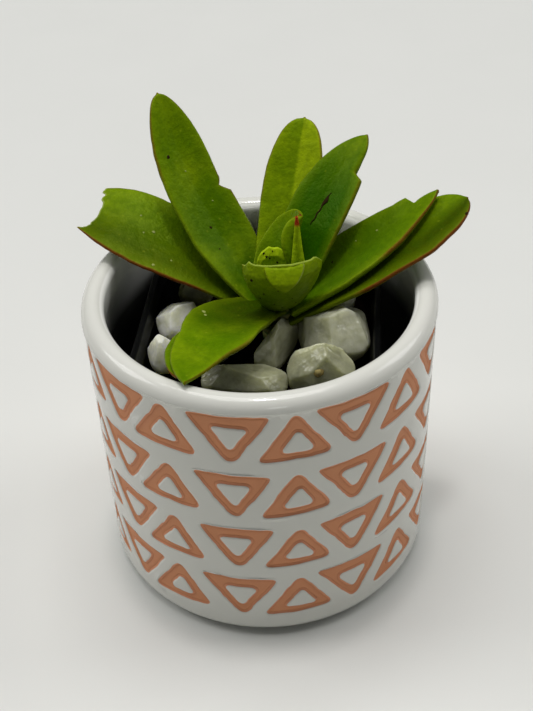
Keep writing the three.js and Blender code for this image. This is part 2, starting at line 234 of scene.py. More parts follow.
class SucculentLeafSettings(bpy.types.PropertyGroup):
    """Colours of the rosette."""
    green: colour("Leaf green", "Full green of the blade", "#5A7A02")
    deep: colour("Deep green", "Darker green towards the heart", "#2B4E00")
    light: colour("Light green", "Thin blade and young growth", "#94AA10")
    margin: colour("Margin", "Red-brown skin along the margin", "#6C3A14")
    flesh: colour("Flesh", "Pale flesh where a leaf is torn", "#B4BF6C")
    scab: colour("Scab", "Dry scars and specks", "#1C140A")


class SucculentStageSettings(bpy.types.PropertyGroup):
    """The floor, the lights and the camera."""
    floor: colour("Floor", "Pale floor", "#DFE0DC")
    distance: length("Camera distance", "Level distance from the pot's axis to the camera", 214.6)
    height: length("Camera height", "Height of the camera above the floor", 233.2)
    pitch: angle("Pitch", "How far the camera looks down", 39.4)
    yaw: angle("Yaw", "How far the camera looks to the right", 0.3)
    roll: angle("Roll", "How far the camera leans to the right", 2.5)
    lens: bpy.props.FloatProperty(
        name="Lens", description="Focal length on a 36 mm sensor, in millimetres", default=56.3)


# ---------------------------------------------------------------- materials

def glazed_stoneware(settings):
    """Stoneware under a thick white glaze, dipped and fired: glassy, faintly wavy, with tiny iron specks."""
    # The glaze runs a little in firing, in waves of about 12 mm, and its white is uneven in clouds of
    # about 25 mm. Iron specks of about 0.3 mm lie one in several square centimetres.
    material, tree, wave, cloud, away, inside = new_material(
        "glazed_stoneware", [("Noise", 85.0, 2.0), ("Noise", 40.0, 3.0), ("Voronoi", 260.0)], ["inside"])
    near = add_node(
        tree, "ShaderNodeMapRange",
        {"Value": away, "From Min": 0.05, "From Max": 0.09, "To Min": 1.0, "To Max": 0.0})
    pick = add_node(
        tree, "ShaderNodeMath", {0: away.node.outputs["Color"], 1: 0.975}, operation="GREATER_THAN")
    speck = add_node(
        tree, "ShaderNodeMath", {0: near.outputs["Result"], 1: pick.outputs["Value"]}, operation="MULTIPLY")
    # Inside the pot the glaze is painted whiter near the lip, which is painted light, and painted dark
    # further down, which is painted shade in the deep gap.
    white = painted(tree, settings.glaze, [
        (cloud, 0.0, 1.0, 0.0, 1.0, [c * 0.93 for c in settings.glaze]),
        (speck.outputs["Value"], 0.0, 1.0, 0.0, 1.0, linear("#6B5F50")),
        (inside, 0.0, 1.0, 0.0, 1.0, linear("#FAFAF4")),
        (inside, 1.0, 2.0, 0.0, 0.92, linear("#15160F")),
    ])
    return finish_material(
        material, {"Base Color": white, "Roughness": 0.1, "IOR": 1.5, "Specular IOR Level": 0.36},
        (wave, 0.25, 0.3))


def bare_terracotta(settings):
    """Unglazed coral clay, carved by hand: matte, with fine drag lines and darker pores."""
    # Grains and pores of about 0.4 mm, and patches about 8 mm wide where the clay fired lighter or darker.
    material, tree, grain, patch, worked = new_material(
        "bare_terracotta", [("Noise", 2400.0, 3.0), ("Noise", 130.0, 3.0)], ["recess"])
    # Lighter coral on the cut's burred edge, partly a painted highlight where the edge catches light, and
    # darker in the tool's groove, painted shade.
    clay = painted(tree, linear("#F0A284"), [
        (worked, 0.0, 1.0, 0.0, 1.0, settings.clay),
        (worked, 1.1, 2.0, 0.0, 0.6, linear("#A8603E")),
        (patch, 0.0, 1.0, 0.0, 1.0, linear("#CE885C")),
        (grain, 0.0, 1.0, 0.0, 1.0, linear("#D99266")),
    ])
    return finish_material(material, {"Base Color": clay, "Roughness": 0.72}, (grain, 0.35, 0.12))


def moulded_polypropylene(settings):
    """Thin black polypropylene, vacuum formed: satin, with a fine orange peel and dusty streaks."""
    # Orange peel of the mould, about 0.8 mm, and dust in streaks of about 5 mm.
    material, tree, peel, dust = new_material(
        "moulded_polypropylene", [("Noise", 1200.0, 2.0), ("Noise", 220.0, 4.0)])
    black = painted(tree, settings.plastic, [(dust, 0.0, 1.0, 0.0, 1.0, linear("#0B0C0C"))])
    return finish_material(
        material, {"Base Color": black, "Roughness": 0.3, "IOR": 1.49, "Specular IOR Level": 0.14},
        (peel, 0.3, 0.1))


def potting_mix(settings):
    """Damp peat and fibre, tipped in loose: almost black, dull, with a few dry fibres."""
    # Fibres about 1 mm long.
    material, tree, fibre = new_material("potting_mix", [("Noise", 900.0, 5.0)])
    peat = painted(tree, settings.dark, [(fibre, 0.52, 0.72, 0.0, 1.0, settings.light)])
    return finish_material(
        material, {"Base Color": peat, "Roughness": 0.95, "Specular IOR Level": 0.0}, (fibre, 0.8, 0.5))


def milky_quartz(settings):
    """Quartz broken by hammer: milky and a little see-through, with glassier veins and an icy surface."""
    # Veins and clouds about 5 mm apart, crystal grains about 0.9 mm, and the finer steps of broken faces.
    material, tree, cloud, grains, fine, glassy = new_material(
        "milky_quartz", [("Noise", 190.0, 5.0, 0.8), ("Voronoi", 1100.0), ("Noise", 800.0, 6.0)], ["glassy"])
    veins = (cloud, 0.38, 0.66, 0.0, 0.55)
    clear = painted(tree, linear("#8C8D5E"), [(*veins, linear("#4A4B28"))])
    stone = painted(tree, settings.quartz, [(*veins, settings.vein), (glassy, 0.0, 1.0, 0.0, 1.0, clear)])
    grit = add_node(tree, "ShaderNodeMath", {0: grains, 1: fine}, operation="MULTIPLY")
    return finish_material(
        material,
        {"Base Color": stone, "Roughness": 0.24, "IOR": 1.54, "Subsurface Weight": 1.0,
         "Subsurface Radius": (1.0, 1.0, 0.75), "Subsurface Scale": 6.0 * MM},
        (grit.outputs["Value"], 0.6, 0.3))


def iron_stain(settings, tone):
    """Rusty, earthy matter caught in the quartz: dull and crumbly."""
    # Crumbs about 0.4 mm.
    material, tree, crumbs = new_material("iron_stain", [("Noise", 2400.0, 3.0)])
    rust = painted(tree, linear(tone), [(crumbs, 0.0, 1.0, 0.0, 1.0, settings.stain)])
    return finish_material(material, {"Base Color": rust, "Roughness": 0.75})


LEAF_VALUES = ("margin", "reach", "torn", "ruddy", "pale", "lush", "painted_shade")


def living_leaf(settings):
    """A thick live leaf with a waxy skin: glossy, deep green at the heart, thin and lighter at the rim."""
    # Broad clouds of green, about 12 mm, and finer mottling, about 1.5 mm. Yellow freckles about 0.5 mm
    # across, 3 mm apart. The skin's cells, about 0.5 mm, show as a fine dimpling.
    textures = [("Noise", 85.0, 3.0), ("Noise", 650.0, 3.0), ("Voronoi", 340.0), ("Noise", 1500.0, 2.0)]
    material, tree, *values = new_material("living_leaf", textures, LEAF_VALUES)
    cloud, mottle, freckles, cells, edge, reach, torn, ruddy, pale, lush, painted_shade = values
    # The margin's skin is red where the sun has caught it, and a ruddiness above 1 reddens a whole tip.
    skin = add_node(
        tree, "ShaderNodeMapRange",
        {"Value": edge, "From Min": 0.955, "From Max": 0.995, "To Min": 0.0, "To Max": 1.0})
    red = add_node(tree, "ShaderNodeMath", {0: skin.outputs["Result"], 1: ruddy}, operation="MULTIPLY")
    blade = painted(tree, settings.deep, [
        (reach, 0.1, 0.6, 0.0, 1.0, settings.green),
        (cloud, 0.42, 0.75, 0.0, 0.6, settings.light),
        (pale, 0.0, 1.0, 0.0, 0.9, settings.light),
        # Paleness above 1 is painted light on leaves that lie in shade.
        (pale, 1.0, 2.0, 0.0, 1.0, linear("#B4D018")),
        (lush, 0.0, 1.0, 0.0, 0.95, linear("#1E5200")),
        # Painted shade: darker and more olive on a leaf's shaded side and towards its base.
        (painted_shade, 0.0, 1.0, 0.0, 0.85, linear("#2A3600")),
        (mottle, 0.35, 0.65, 0.0, 0.3, settings.deep),
        (freckles, 0.05, 0.14, 0.16, 0.0, linear("#A9AE2A")),
        (edge, 0.6, 0.93, 0.0, 0.16, settings.light),
        (edge, 0.94, 0.995, 0.0, 0.2, linear("#8E9A20")),
        (red.outputs["Value"], 0.0, 1.0, 0.0, 1.0, settings.margin),
        (ruddy, 1.2, 3.0, 0.0, 1.0, linear("#A8351C")),
        (torn, 0.2, 1.0, 0.0, 0.6, settings.flesh),
    ])
    wax = add_node(
        tree, "ShaderNodeMapRange",
        {"Value": mottle, "From Min": 0.3, "From Max": 0.7, "To Min": 0.3, "To Max": 0.46})
    return finish_material(
        material,
        {"Base Color": blade, "Roughness": wax.outputs["Result"], "IOR": 1.42,
         "Specular IOR Level": 0.16, "Specular Tint": (0.75, 1.0, 0.06),
         "Subsurface Weight": 0.12, "Subsurface Radius": (0.9, 1.0, 0.1), "Subsurface Scale": 1.2 * MM},
        (mottle, 0.4, 0.5), (cells, 0.5, 0.2))


def corky_tissue(name, detail, tone, light, surface):
    """Dry, dull cork over a wound in a leaf: pale on a healed nick, almost black on a scab."""
    # Cork cells, about 0.3 mm.
    material, tree, cork = new_material(name, [("Noise", 3000.0, detail)])
    dry = painted(tree, tone, [(cork, 0.0, 1.0, 0.0, 1.0, light)])
    return finish_material(material, {"Base Color": dry, **surface})


def green_stem(settings):
    """A fleshy green stem ringed with old leaf scars."""
    # Leaf scars about 2 mm apart up the stem.
    material, tree, rings = new_material("green_stem", [("Wave", 160.0, 2.0, 3.0)])
    rings.node.bands_direction = "Z"
    stalk = painted(tree, settings.deep, [(rings, 0.0, 1.0, 0.0, 1.0, linear("#7C7A42"))])
    return finish_material(material, {"Base Color": stalk, "Roughness": 0.55}, (rings, 0.5, 0.4))


def painted_board(settings):
    """A matt white-painted board, as a plain studio floor."""
    # Faint roller marks about 40 mm apart.
    material, tree, marks = new_material("painted_board", [("Noise", 25.0, 2.0)])
    paint = painted(tree, settings.floor, [(marks, 0.0, 1.0, 0.0, 1.0, [c * 0.97 for c in settings.floor])])
    return finish_material(material, {"Base Color": paint, "Roughness": 0.5})


# ---------------------------------------------------------------- ceramic pot

SIDE_STEPS = 14               # vertices along a slanted side of a triangle's cell
SPAN_STEPS = 16               # vertices along its top and its bottom
BAND_STEPS = 4                # rings between two rows
CORNER_STEPS = 8              # steps round each corner of an outline
LINE_STEPS = 6                # steps between two of an outline's points
SHARPEST_CORNER = 0.12 * MM
CELL_MARGIN = 0.65 * MM       # glaze above and below a triangle that belongs to its cell
NARROW_SHARE = 0.24           # share of the pitch that half the narrow end of a cell takes
CELL_CENTRE = 1.6 * MM        # how far a cell's centre lies from its middle, towards its wide end
POINT_REACH = 1.12            # how far a triangle's point lies from its middle, in half heights
UP_SHARE = 0.93               # width of a triangle that points up, as a share of one that points down
ISLAND_HALF_WIDTH = 4.5 * MM
ISLAND_BASE = 3.6 * MM        # from the middle of a cell to its island's flat side
ISLAND_POINT = 3.4 * MM       # and to the island's point
LOOP_GAP = 0.01               # least gap from the half-way line to a loop, as a share of its reach
JITTER = 0.3                  # how far a hand-cut corner misses its place, in mm
# The waves of a hand-cut line: how many go round a triangle, and their height as a share of its size.
WOBBLE = ((3, 0.016), (5, 0.014), (9, 0.010), (17, 0.005))
PATTERN_START = math.radians(-101)   # azimuth of the first triangle that points down
# How far, in millimetres, the hand that set out the pattern missed each column, from the first one on.
COLUMN_DRIFT = (0, -0.2, -0.7, -0.3, 0.2, 0.6, -0.4, 0.7, 0.1, -0.5, 0.4, 0.8, -0.2, -0.7, 0.3, 0, 0, -1.6)

BEAD = 0.3 * MM               # how far the lip stands proud of the wall
LIP_OUTER_ROUND = 3.1 * MM
LIP_INNER_ROUND = 2.5 * MM
LIP_BORE = 36.9 * MM
WALL_BORE = 37.6 * MM
LIT_DOWN_TO, SHADED_FROM = 73, 62   # heights in mm down to which the inside is painted whiter as light, and painted dark in full as shade
FLOOR_TOP = 5.6 * MM
FLOOR_ROUND = 4 * MM
FOOT_ROUND = 5 * MM
UNDERSIDE = 0.7 * MM          # how far the underside is hollowed inside the foot


def rounded_outline(corners, radii, offset):
    """A triangle's outline, moved out by offset, with its own radius at each corner, in polar form."""
    corners = np.array(corners, float)
    along = np.roll(corners, -1, 0) - corners
    normals = np.stack([along[:, 1], -along[:, 0]], -1) / np.linalg.norm(along, axis=1)[:, None]
    pairs = [np.array([normals[i - 1], normals[i]]) for i in range(3)]
    moved = [np.linalg.solve(pair, pair @ corner + offset) for pair, corner in zip(pairs, corners)]
    points = []
    for i, pair in enumerate(pairs):
        radius = max(radii[i] + offset, SHARPEST_CORNER)
        sides = np.array([moved[i - 1] - moved[i], moved[(i + 1) % 3] - moved[i]])
        sides /= np.linalg.norm(sides, axis=1)[:, None]
        half = math.acos(np.clip(sides[0] @ sides[1], -1, 1)) / 2
        middle = sides.sum(0) / np.linalg.norm(sides.sum(0))
        centre = moved[i] + middle * radius / math.sin(half)
        first, last = np.arctan2(pair[:, 1], pair[:, 0])
        turn = (last - first + math.pi) % math.tau - math.pi
        angles = first + turn * np.linspace(0, 1, CORNER_STEPS + 1)
        points += list(centre + radius * np.stack([np.cos(angles), np.sin(angles)], -1))
    shares = np.linspace(0, 1, LINE_STEPS, endpoint=False)[:, None]
    dense = np.concatenate([a + (b - a) * shares for a, b in zip(points, points[1:] + points[:1])])
    angles = np.arctan2(dense[:, 1], dense[:, 0])
    order = np.argsort(angles)
    return angles[order], np.hypot(dense[:, 0], dense[:, 1])[order]


def edge_places(wide):
    """Places from -1 to 1 along a cell's top or bottom, closer together at a wide edge's ends."""
    steady = np.linspace(-1, 1, SPAN_STEPS + 1)
    return np.sin(steady * math.pi / 2) if wide else steady


class PotWall:
    """The pot's skin, with its rows of recessed triangles, as vertices and faces."""

    def __init__(self, settings, radius):
        self.settings = settings
        self.radius = radius
        self.random = random.Random(settings.seed)
        self.columns = settings.pairs * 2
        self.pitch = math.tau * radius / self.columns
        self.high = settings.row_height / 2 + CELL_MARGIN
        self.narrow = self.pitch * NARROW_SHARE
        self.wide = self.pitch - self.narrow
        self.vertices, self.recess = [], []
        self.faces, self.face_materials = [], []

    def put(self, x, z, depth=0.0, recess=0.0):
        """Adds the vertex at x round the wall and z up it, and returns its number."""
        angle = PATTERN_START + x / self.radius
        out = self.radius - depth
        self.vertices.append((out * math.cos(angle), out * math.sin(angle), z))
        self.recess.append(recess)
        return len(self.vertices) - 1

    def quads(self, first, second, material=0):
        """Joins two rings of vertices."""
        for i, (a, b) in enumerate(zip(first, second)):
            j = (i + 1) % len(first)
            self.faces.append((a, first[j], second[j], b))
            self.face_materials.append(material)

    def fan(self, ring, hub):
        """Joins a ring of vertices to the one in its middle."""
        for i, a in enumerate(ring):
            self.faces.append((a, ring[(i + 1) % len(ring)], hub))
            self.face_materials.append(0)

    def row_middle(self, row):
        """The height of the middle of a row of triangles."""
        return self.settings.top_row - self.settings.row_height / 2 - row * self.settings.row_pitch

    def edge_line(self, row, at_top):
        """The (x, z) places of a whole row's top or bottom edge, round the pot."""
        z = self.row_middle(row) + (self.high if at_top else -self.high)
        places = []
        for column in range(self.columns):
            wide = (column % 2 == 0) == at_top
            half = self.wide if wide else self.narrow
            places += [(column * self.pitch + half * place, z) for place in edge_places(wide)[:-1]]
        return np.array(places)

    def band(self, upper, lower):
        """Plain glazed wall between two edge lines."""
        last = [self.put(x, z) for x, z in upper]
        for share in np.linspace(0, 1, BAND_STEPS + 1)[1:]:
            ring = [self.put(x, z) for x, z in upper + (lower - upper) * share]
            self.quads(last, ring)
            last = ring

    def cell_border(self, point_down):
        """A cell's border, anticlockwise from its top right, about the cell's middle."""
        top, bottom = (self.wide, self.narrow) if point_down else (self.narrow, self.wide)
        high = self.high
        slope = (1 - np.cos(np.linspace(0, math.pi, SIDE_STEPS + 1)[:-1])) / 2
        border = [(top * p, high) for p in edge_places(point_down)[::-1][:-1]]
        border += [(-top + (top - bottom) * s, high - 2 * high * s) for s in slope]
        border += [(bottom * p, -high) for p in edge_places(not point_down)[:-1]]
        border += [(bottom + (top - bottom) * s, -high + 2 * high * s) for s in slope]
        return np.array(border)

    def outlines(self, point_down):
        """The corners and radii of the recess and of the island, each a little different."""
        sign = 1 if point_down else -1
        half = self.settings.half_width * (1 if point_down else UP_SHARE)
        high = sign * self.settings.row_height / 2
        base, point = sign * ISLAND_BASE, -sign * ISLAND_POINT
        outer = [(-half, high), (0.3 * MM, -high * POINT_REACH), (half, high)]
        inner = [(-ISLAND_HALF_WIDTH, base), (0.2 * MM, point), (ISLAND_HALF_WIDTH, base)]
        inner_radii = [self.random.uniform(0.6, 1.2) * MM] * 3
        outer_radii = [0.55 * MM, 1.7 * MM, 0.75 * MM]
        if not point_down:
            outer, inner = outer[::-1], inner[::-1]
            outer[0] = (outer[0][0], outer[0][1] + 0.9 * MM)
            outer_radii = [1.2 * MM, 1.6 * MM, 0.9 * MM]
            # The islands of these are smaller, and were cut low and to the right.
            inner = [(x * 0.92 + 0.4 * MM, z * 0.92 - 0.7 * MM) for x, z in inner]
        corners = [
            np.array([place + self.random.uniform(-JITTER, JITTER) * MM for place in corner])
            for corner in outer + inner]
        return (corners[:3], outer_radii), (corners[3:], inner_radii)

    def cell(self, row, column):
        """One triangle: glaze, rounded glaze edge, clay wall, groove and floor, and the glazed island."""
        point_down = column % 2 == 0
        centre = np.array([0, CELL_CENTRE if point_down else -CELL_CENTRE])
        border = self.cell_border(point_down)
        drift = (COLUMN_DRIFT[column % len(COLUMN_DRIFT)] * MM, 0)
        outer, inner = [
            ([corner - centre + drift for corner in corners], radii)
            for corners, radii in self.outlines(point_down)]
        rays = border - centre
        angles = np.arctan2(rays[:, 1], rays[:, 0])
        wobble = 1 + sum(
            height * np.sin(waves * angles + self.random.uniform(0, math.tau)) for waves, height in WOBBLE)
        middle = np.array([column * self.pitch, self.row_middle(row)])

        def reach_at(outline, offset):
            """How far the moved outline lies from the centre, along each ray."""
            at, reach = rounded_outline(*outline, offset * MM)
            return np.interp(angles, at, reach, period=math.tau)

        # Half-way between the two outlines, which neither side's loops may cross.
        halfway = (reach_at(outer, 0) + reach_at(inner, 0)) / 2

        def loop(outline, offset, depth, worked, keep, limit):
            """A ring of vertices along the moved outline, on its own side of the half-way line."""
            far = keep(reach_at(outline, offset), halfway * limit) * wobble
            places = np.stack([far * np.cos(angles), far * np.sin(angles)], -1) + centre + middle
            return [self.put(x, z, depth, worked) for x, z in places]

        deep = self.settings.depth
        # Offset from the outline in mm, depth, how the clay is worked there (0 the burred edge of the
        # cut, 1 the floor, 2 the groove that the tool left), and the material (0 glaze, 1 clay).
        # The clay's colour follows how it is worked: partly a painted highlight on the burred edge, and
        # painted shade in the groove.
        edge = [
            (0.6, -0.03 * MM, 0, 0), (0.3, 0.0, 0, 0), (0.0, 0.2 * MM, 0, 0), (-0.1, deep * 0.7, 0, 1),
            (-0.3, deep * 0.74, 0.2, 1), (-0.5, deep * 0.86, 0.8, 1), (-0.58, deep * 1.04, 2, 1),
            (-0.64, deep * 1.04, 2, 1), (-0.72, deep * 0.92, 1, 1), (-1.2, deep * 0.9, 1, 1)]
        loops = [([self.put(x, z) for x, z in border + middle], 0)]
        for offset, depth, worked, material in edge:
            loops.append((loop(outer, offset, depth, worked, np.maximum, 1 + LOOP_GAP), material))
        for offset, depth, worked, material in edge[::-1]:
            loops.append((loop(inner, -offset, depth, worked, np.minimum, 1 - LOOP_GAP), material))
        for number, ((first, before), (second, after)) in enumerate(zip(loops, loops[1:])):
            self.quads(first, second, max(before, after) if number > len(edge) else after)
        self.fan(loops[-1][0], self.put(*(middle + centre + drift)))

    def lathe(self, places, profile):
        """Carries an edge line on along a profile of (radius, z) points, and closes it at the axis."""
        last = [self.put(x, z) for x, z in places]
        for out, z in profile:
            ring = [self.put(x, z, self.radius - out) for x, _ in places]
            self.quads(last, ring)
            last = ring
        self.fan(last, self.put(0, profile[-1][1], self.radius))

    def build(self, height):
        """Builds the whole pot: the rows, then the lip and the inside, then the foot and the underside."""
        rows = self.settings.rows
        for row in range(rows):
            for column in range(self.columns):
                self.cell(row, column)
            if row + 1 < rows:
                self.band(self.edge_line(row, False), self.edge_line(row + 1, True))
        # The lip is a bead that stands a little proud of the wall.
        start = height - LIP_OUTER_ROUND
        lip = [(self.radius + BEAD * share, start + (share - 1) * 0.45 * MM) for share in (0.1, 0.5, 0.9)]
        lip += arc(self.radius + BEAD - LIP_OUTER_ROUND, start, LIP_OUTER_ROUND, 0, 90, 12)
        lip += arc(LIP_BORE + LIP_INNER_ROUND, height - LIP_INNER_ROUND, LIP_INNER_ROUND, 90, 180, 8)
        lip += [(LIP_BORE + 0.1 * MM, height - 6 * MM)]
        lip += [(WALL_BORE, z) for z in np.linspace(height - 9 * MM, FLOOR_TOP + 5 * MM, 16)]
        lip += arc(WALL_BORE - FLOOR_ROUND, FLOOR_TOP + FLOOR_ROUND, FLOOR_ROUND, 0, -90, 5)
        self.lathe(self.edge_line(0, True), lip + [(20 * MM, FLOOR_TOP), (6 * MM, FLOOR_TOP)])
        foot = arc(self.radius - FOOT_ROUND, FOOT_ROUND, FOOT_ROUND, 0, -90, 10)
        foot += [(33 * MM, 0), (32.4 * MM, UNDERSIDE - 0.1 * MM), (20 * MM, UNDERSIDE), (6 * MM, UNDERSIDE)]
        self.lathe(self.edge_line(rows - 1, False), foot)


class SUCCULENT_OT_ceramic_pot(bpy.types.Operator):
    """Builds the glazed pot with its relief of triangles"""
    bl_idname = "succulent.ceramic_pot"
    bl_label = "Ceramic pot"

    def execute(self, context):
        settings = context.scene.succulent_pot
        low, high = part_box("ceramic_pot")
        wall = PotWall(settings, (high[0] - low[0]) / 2 - BEAD)
        wall.build(high[2])
        # 1 on the inside of the lip, painted whiter as light, rising to 2 where the wall is painted dark as
        # shade, and 0 outside.
        inside = [
            float(np.interp(z / MM, [SHADED_FROM, LIT_DOWN_TO], [2, 1]))
            if math.hypot(x, y) < WALL_BORE + 0.2 * MM and z > 5 * MM else 0.0
            for x, y, z in wall.vertices]
        materials = [glazed_stoneware(settings), bare_terracotta(settings)]
        pot = make_piece(
            "ceramic_pot_glazed", wall.vertices, wall.faces, materials, ["ceramic_pot"],
            wall.face_materials, {"recess": wall.recess, "inside": inside})
        weld(pot)
        return {"FINISHED"}


# ---------------------------------------------------------------- nursery pot and soil

NURSERY_RIM_HALF = 28.4 * MM
NURSERY_BASE_HALF = 21.5 * MM
NURSERY_BASE_CORNER = 8 * MM
NURSERY_BEAD = 0.9 * MM       # how far the rolled rim stands out
ARC_STEPS = 10                # steps round a corner of the square
FLAT_STEPS = 6                # steps along a side


def square_ring(half, corner, turn):
    """Points (x, y) of a square with round corners, turned about the axis."""
    arcs = []
    for quarter, (sx, sy) in enumerate([(1, 1), (-1, 1), (-1, -1), (1, -1)]):
        angles = np.radians(90 * (quarter + np.linspace(0, 1, ARC_STEPS + 1)))
        middle = np.array([sx, sy]) * (half - corner)
        arcs.append(middle + corner * np.stack([np.cos(angles), np.sin(angles)], -1))
    points = []
    for i, corner_arc in enumerate(arcs):
        end, start = corner_arc[-1], arcs[(i + 1) % 4][0]
        shares = np.linspace(0, 1, FLAT_STEPS + 1)[1:-1, None]
        points += [*corner_arc, *(end + (start - end) * shares)]
    spin = Matrix.Rotation(turn, 2)
    return [tuple(spin @ Vector(p)) for p in points]


def stack(rings):
    """Faces that join equal rings one on the next, with a cap at each end."""
    count = len(rings[0])
    vertices = [v for ring in rings for v in ring]
    faces = []
    for r in range(len(rings) - 1):
        for i in range(count):
            a, b = r * count + i, r * count + (i + 1) % count
            faces.append((a, b, b + count, a + count))
    faces.append(tuple(range(count))[::-1])
    faces.append(tuple(range(len(vertices) - count, len(vertices))))
    return vertices, faces


def nursery_ring(settings, z, inset):
    """The tapering wall of the nursery pot at height z, moved in by inset."""
    low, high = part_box("nursery_pot")
    share = (z - low[2]) / (high[2] - low[2])
    half = NURSERY_BASE_HALF + (NURSERY_RIM_HALF - NURSERY_BASE_HALF) * share
    corner = NURSERY_BASE_CORNER + (settings.corner - NURSERY_BASE_CORNER) * share
    return [(x, y, z) for x, y in square_ring(half - inset, corner - inset, settings.turn)]


class SUCCULENT_OT_nursery_pot(bpy.types.Operator):
    """Builds the thin black pot that the plant grows in"""
    bl_idname = "succulent.nursery_pot"
    bl_label = "Nursery pot"

    def execute(self, context):
        settings = context.scene.succulent_nursery
        low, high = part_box("nursery_pot")
        base, rim, wall = low[2], high[2], settings.wall
        lining = wall + 0.35 * MM
        # Up the outside, over the rolled rim and down the inside, each a height and an inset.
        profile = [(base, 1.2 * MM), (base + 0.4 * MM, 0.3 * MM)]
        profile += [(z, 0) for z in np.linspace(base + 1.2 * MM, rim - 3.4 * MM, 8)]
        profile += [
            (rim - 2.4 * MM, -0.2 * MM), (rim - 2.0 * MM, -NURSERY_BEAD), (rim - 0.4 * MM, -NURSERY_BEAD),
            (rim, -0.5 * MM), (rim, wall * 0.6), (rim - 0.4 * MM, wall), (rim - 3.0 * MM, wall),
            (rim - 3.3 * MM, lining)]
        profile += [(z, lining) for z in np.linspace(rim - 4 * MM, base + 1.2 * MM, 6)]
        vertices, faces = stack([nursery_ring(settings, z, inset) for z, inset in profile])
        make_piece(
            "nursery_pot_moulded", vertices, faces, [moulded_polypropylene(settings)],
            ["nursery_pot"])
        return {"FINISHED"}


def ball_mesh(subdivisions, radius):
    """A ball's points and faces."""
    ball = bmesh.new()
    bmesh.ops.create_icosphere(ball, subdivisions=subdivisions, radius=radius)
    points = [v.co.copy() for v in ball.verts]
    faces = [[v.index for v in face.verts] for face in ball.faces]
    ball.free()
    return points, faces


def add_lump(vertices, faces, lump, lump_faces):
    """Adds a lump to a mesh."""
    start = len(vertices)
    vertices += [tuple(v) for v in lump]
    faces += [tuple(start + i for i in face) for face in lump_faces]


def crumb(centre, radius, chance):
    """A small lump, as vertices and faces of a dented ball."""
    ball, faces = ball_mesh(1, radius)
    stretch = Vector([chance.uniform(0.6, 1.2) for _ in range(3)])
    spin = Matrix.Rotation(chance.uniform(0, math.tau), 3, "Z")
    vertices = [
        spin @ (point * stretch * chance.uniform(0.8, 1.15)) + Vector(centre) for point in ball]
    return vertices, faces


SOIL_GAP = 0.6 * MM       # between the soil and the nursery pot's wall
SOIL_SETTLED = 1.0 * MM   # how far the top has settled below the brim of the soil
SOIL_ROUGHNESS = 0.9 * MM
CRUMB_SPREAD = 25         # how far from the axis crumbs lie, in mm


class SUCCULENT_OT_soil(bpy.types.Operator):
    """Builds the potting soil, with its rough top and loose crumbs"""
    bl_idname = "succulent.soil"
    bl_label = "Potting soil"

    def execute(self, context):
        settings = context.scene.succulent_soil
        nursery = context.scene.succulent_nursery
        low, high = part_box("potting_soil")
        chance = random.Random(11)
        inset = nursery.wall + SOIL_GAP
        top = high[2]
        rings = [nursery_ring(nursery, z, inset) for z in np.linspace(low[2], top - 1.5 * MM, 4)]
        for share in (0.93, 0.85, 0.76, 0.66, 0.56, 0.46, 0.36, 0.26, 0.16, 0.06):
            ring = []
            for x, y, _ in nursery_ring(nursery, top, inset):
                spot = Vector((x * share, y * share, 0))
                rough = noise.fractal(spot * 260, 1.0, 2.0, 3) * SOIL_ROUGHNESS
                ring.append((spot.x, spot.y, top - SOIL_SETTLED + rough))
            rings.append(ring)
        vertices, faces = stack(rings)
        for _ in range(settings.crumbs):
            x, y = [chance.uniform(-CRUMB_SPREAD, CRUMB_SPREAD) * MM for _ in range(2)]
            radius = settings.crumb_size * chance.uniform(0.3, 1.0)
            add_lump(vertices, faces, *crumb((x, y, top - 0.9 * MM + radius * 0.3), radius, chance))
        make_piece("potting_soil_rough", vertices, faces, [potting_mix(settings)], ["potting_soil"])
        return {"FINISHED"}


# ---------------------------------------------------------------- leaves

LEAF_ROWS = 96
LEAF_COLUMNS = 30
UPPER_SHARE = 0.35    # share of the thickness that lies above the middle sheet
MARGIN_SHARE = 0.16   # thickness at the margin, as a share of that in the middle
LINE_POINTS = 121     # points along a leaf's centre line
LEAST_WIDTH = 0.03    # half width at the very tip, as a share of the widest
SWELL = 1.3           # more than 1 keeps a leaf narrow for longer near its base
MARGIN_WAVES = ((6, 0.035), (26, 0.012))   # waves along a margin, and their height as a share of its width
SKIN_WAVES = ((90, 0.45), (260, 0.12))     # waves of the whole blade per metre, and their height in mm
CREASE = 0.35 * MM    # depth of the crease along the upper side
RUDDY_FADE = 0.08     # share of the length over which a red margin fades

# Millimetres and degrees. Each leaf grows from its root along a line that starts at `heading` (from +X
# towards +Y) and `rise` (above level), and turns by `sweep` to `rise_end` at the tip. `base`, `widest`,
# `fall` and `blunt` shape its outline, `cup` to `cup_end` (half angle) and `roll` its section. A bite is
# (side, from, to, depth at from, depth at to), side 1 being on the left of the heading. `torn` gives how
# far the leaf goes at places across it, from the right margin (-1) to the left one (1), and `whole` how
# long the leaf was before it tore, as a share of what is left; `rim` is how pale the torn edge is. `ruddy`
# lists (side, from, to, strength) of red margins, side 0 being both, where more than 1 is red right across.
# `lush` is how dark a green the leaf is, and `painted_light_lift` how far it is lifted from the dark green of
# a base, painted light on leaves that lie in shade.
# `pale_side` is the side that light comes through, and `pale_and_lit_patches` are paler, each (along, across,
# radius in mm, strength), where a strength of 1 or more is painted light. `painted_shade_side` (side,
# strength) and `painted_shade_base` are painted shade, darker and more olive on a leaf's shaded side and at
# its base.
PLAIN_LEAF = dict(
    sweep=0, thick=3, roll=0, whole=1, torn=(), rim=1, bites=(), ruddy=(), lush=0, painted_light_lift=0, pale_side=0,
    pale_and_lit_patches=(), painted_shade_side=(1, 0), painted_shade_base=0)
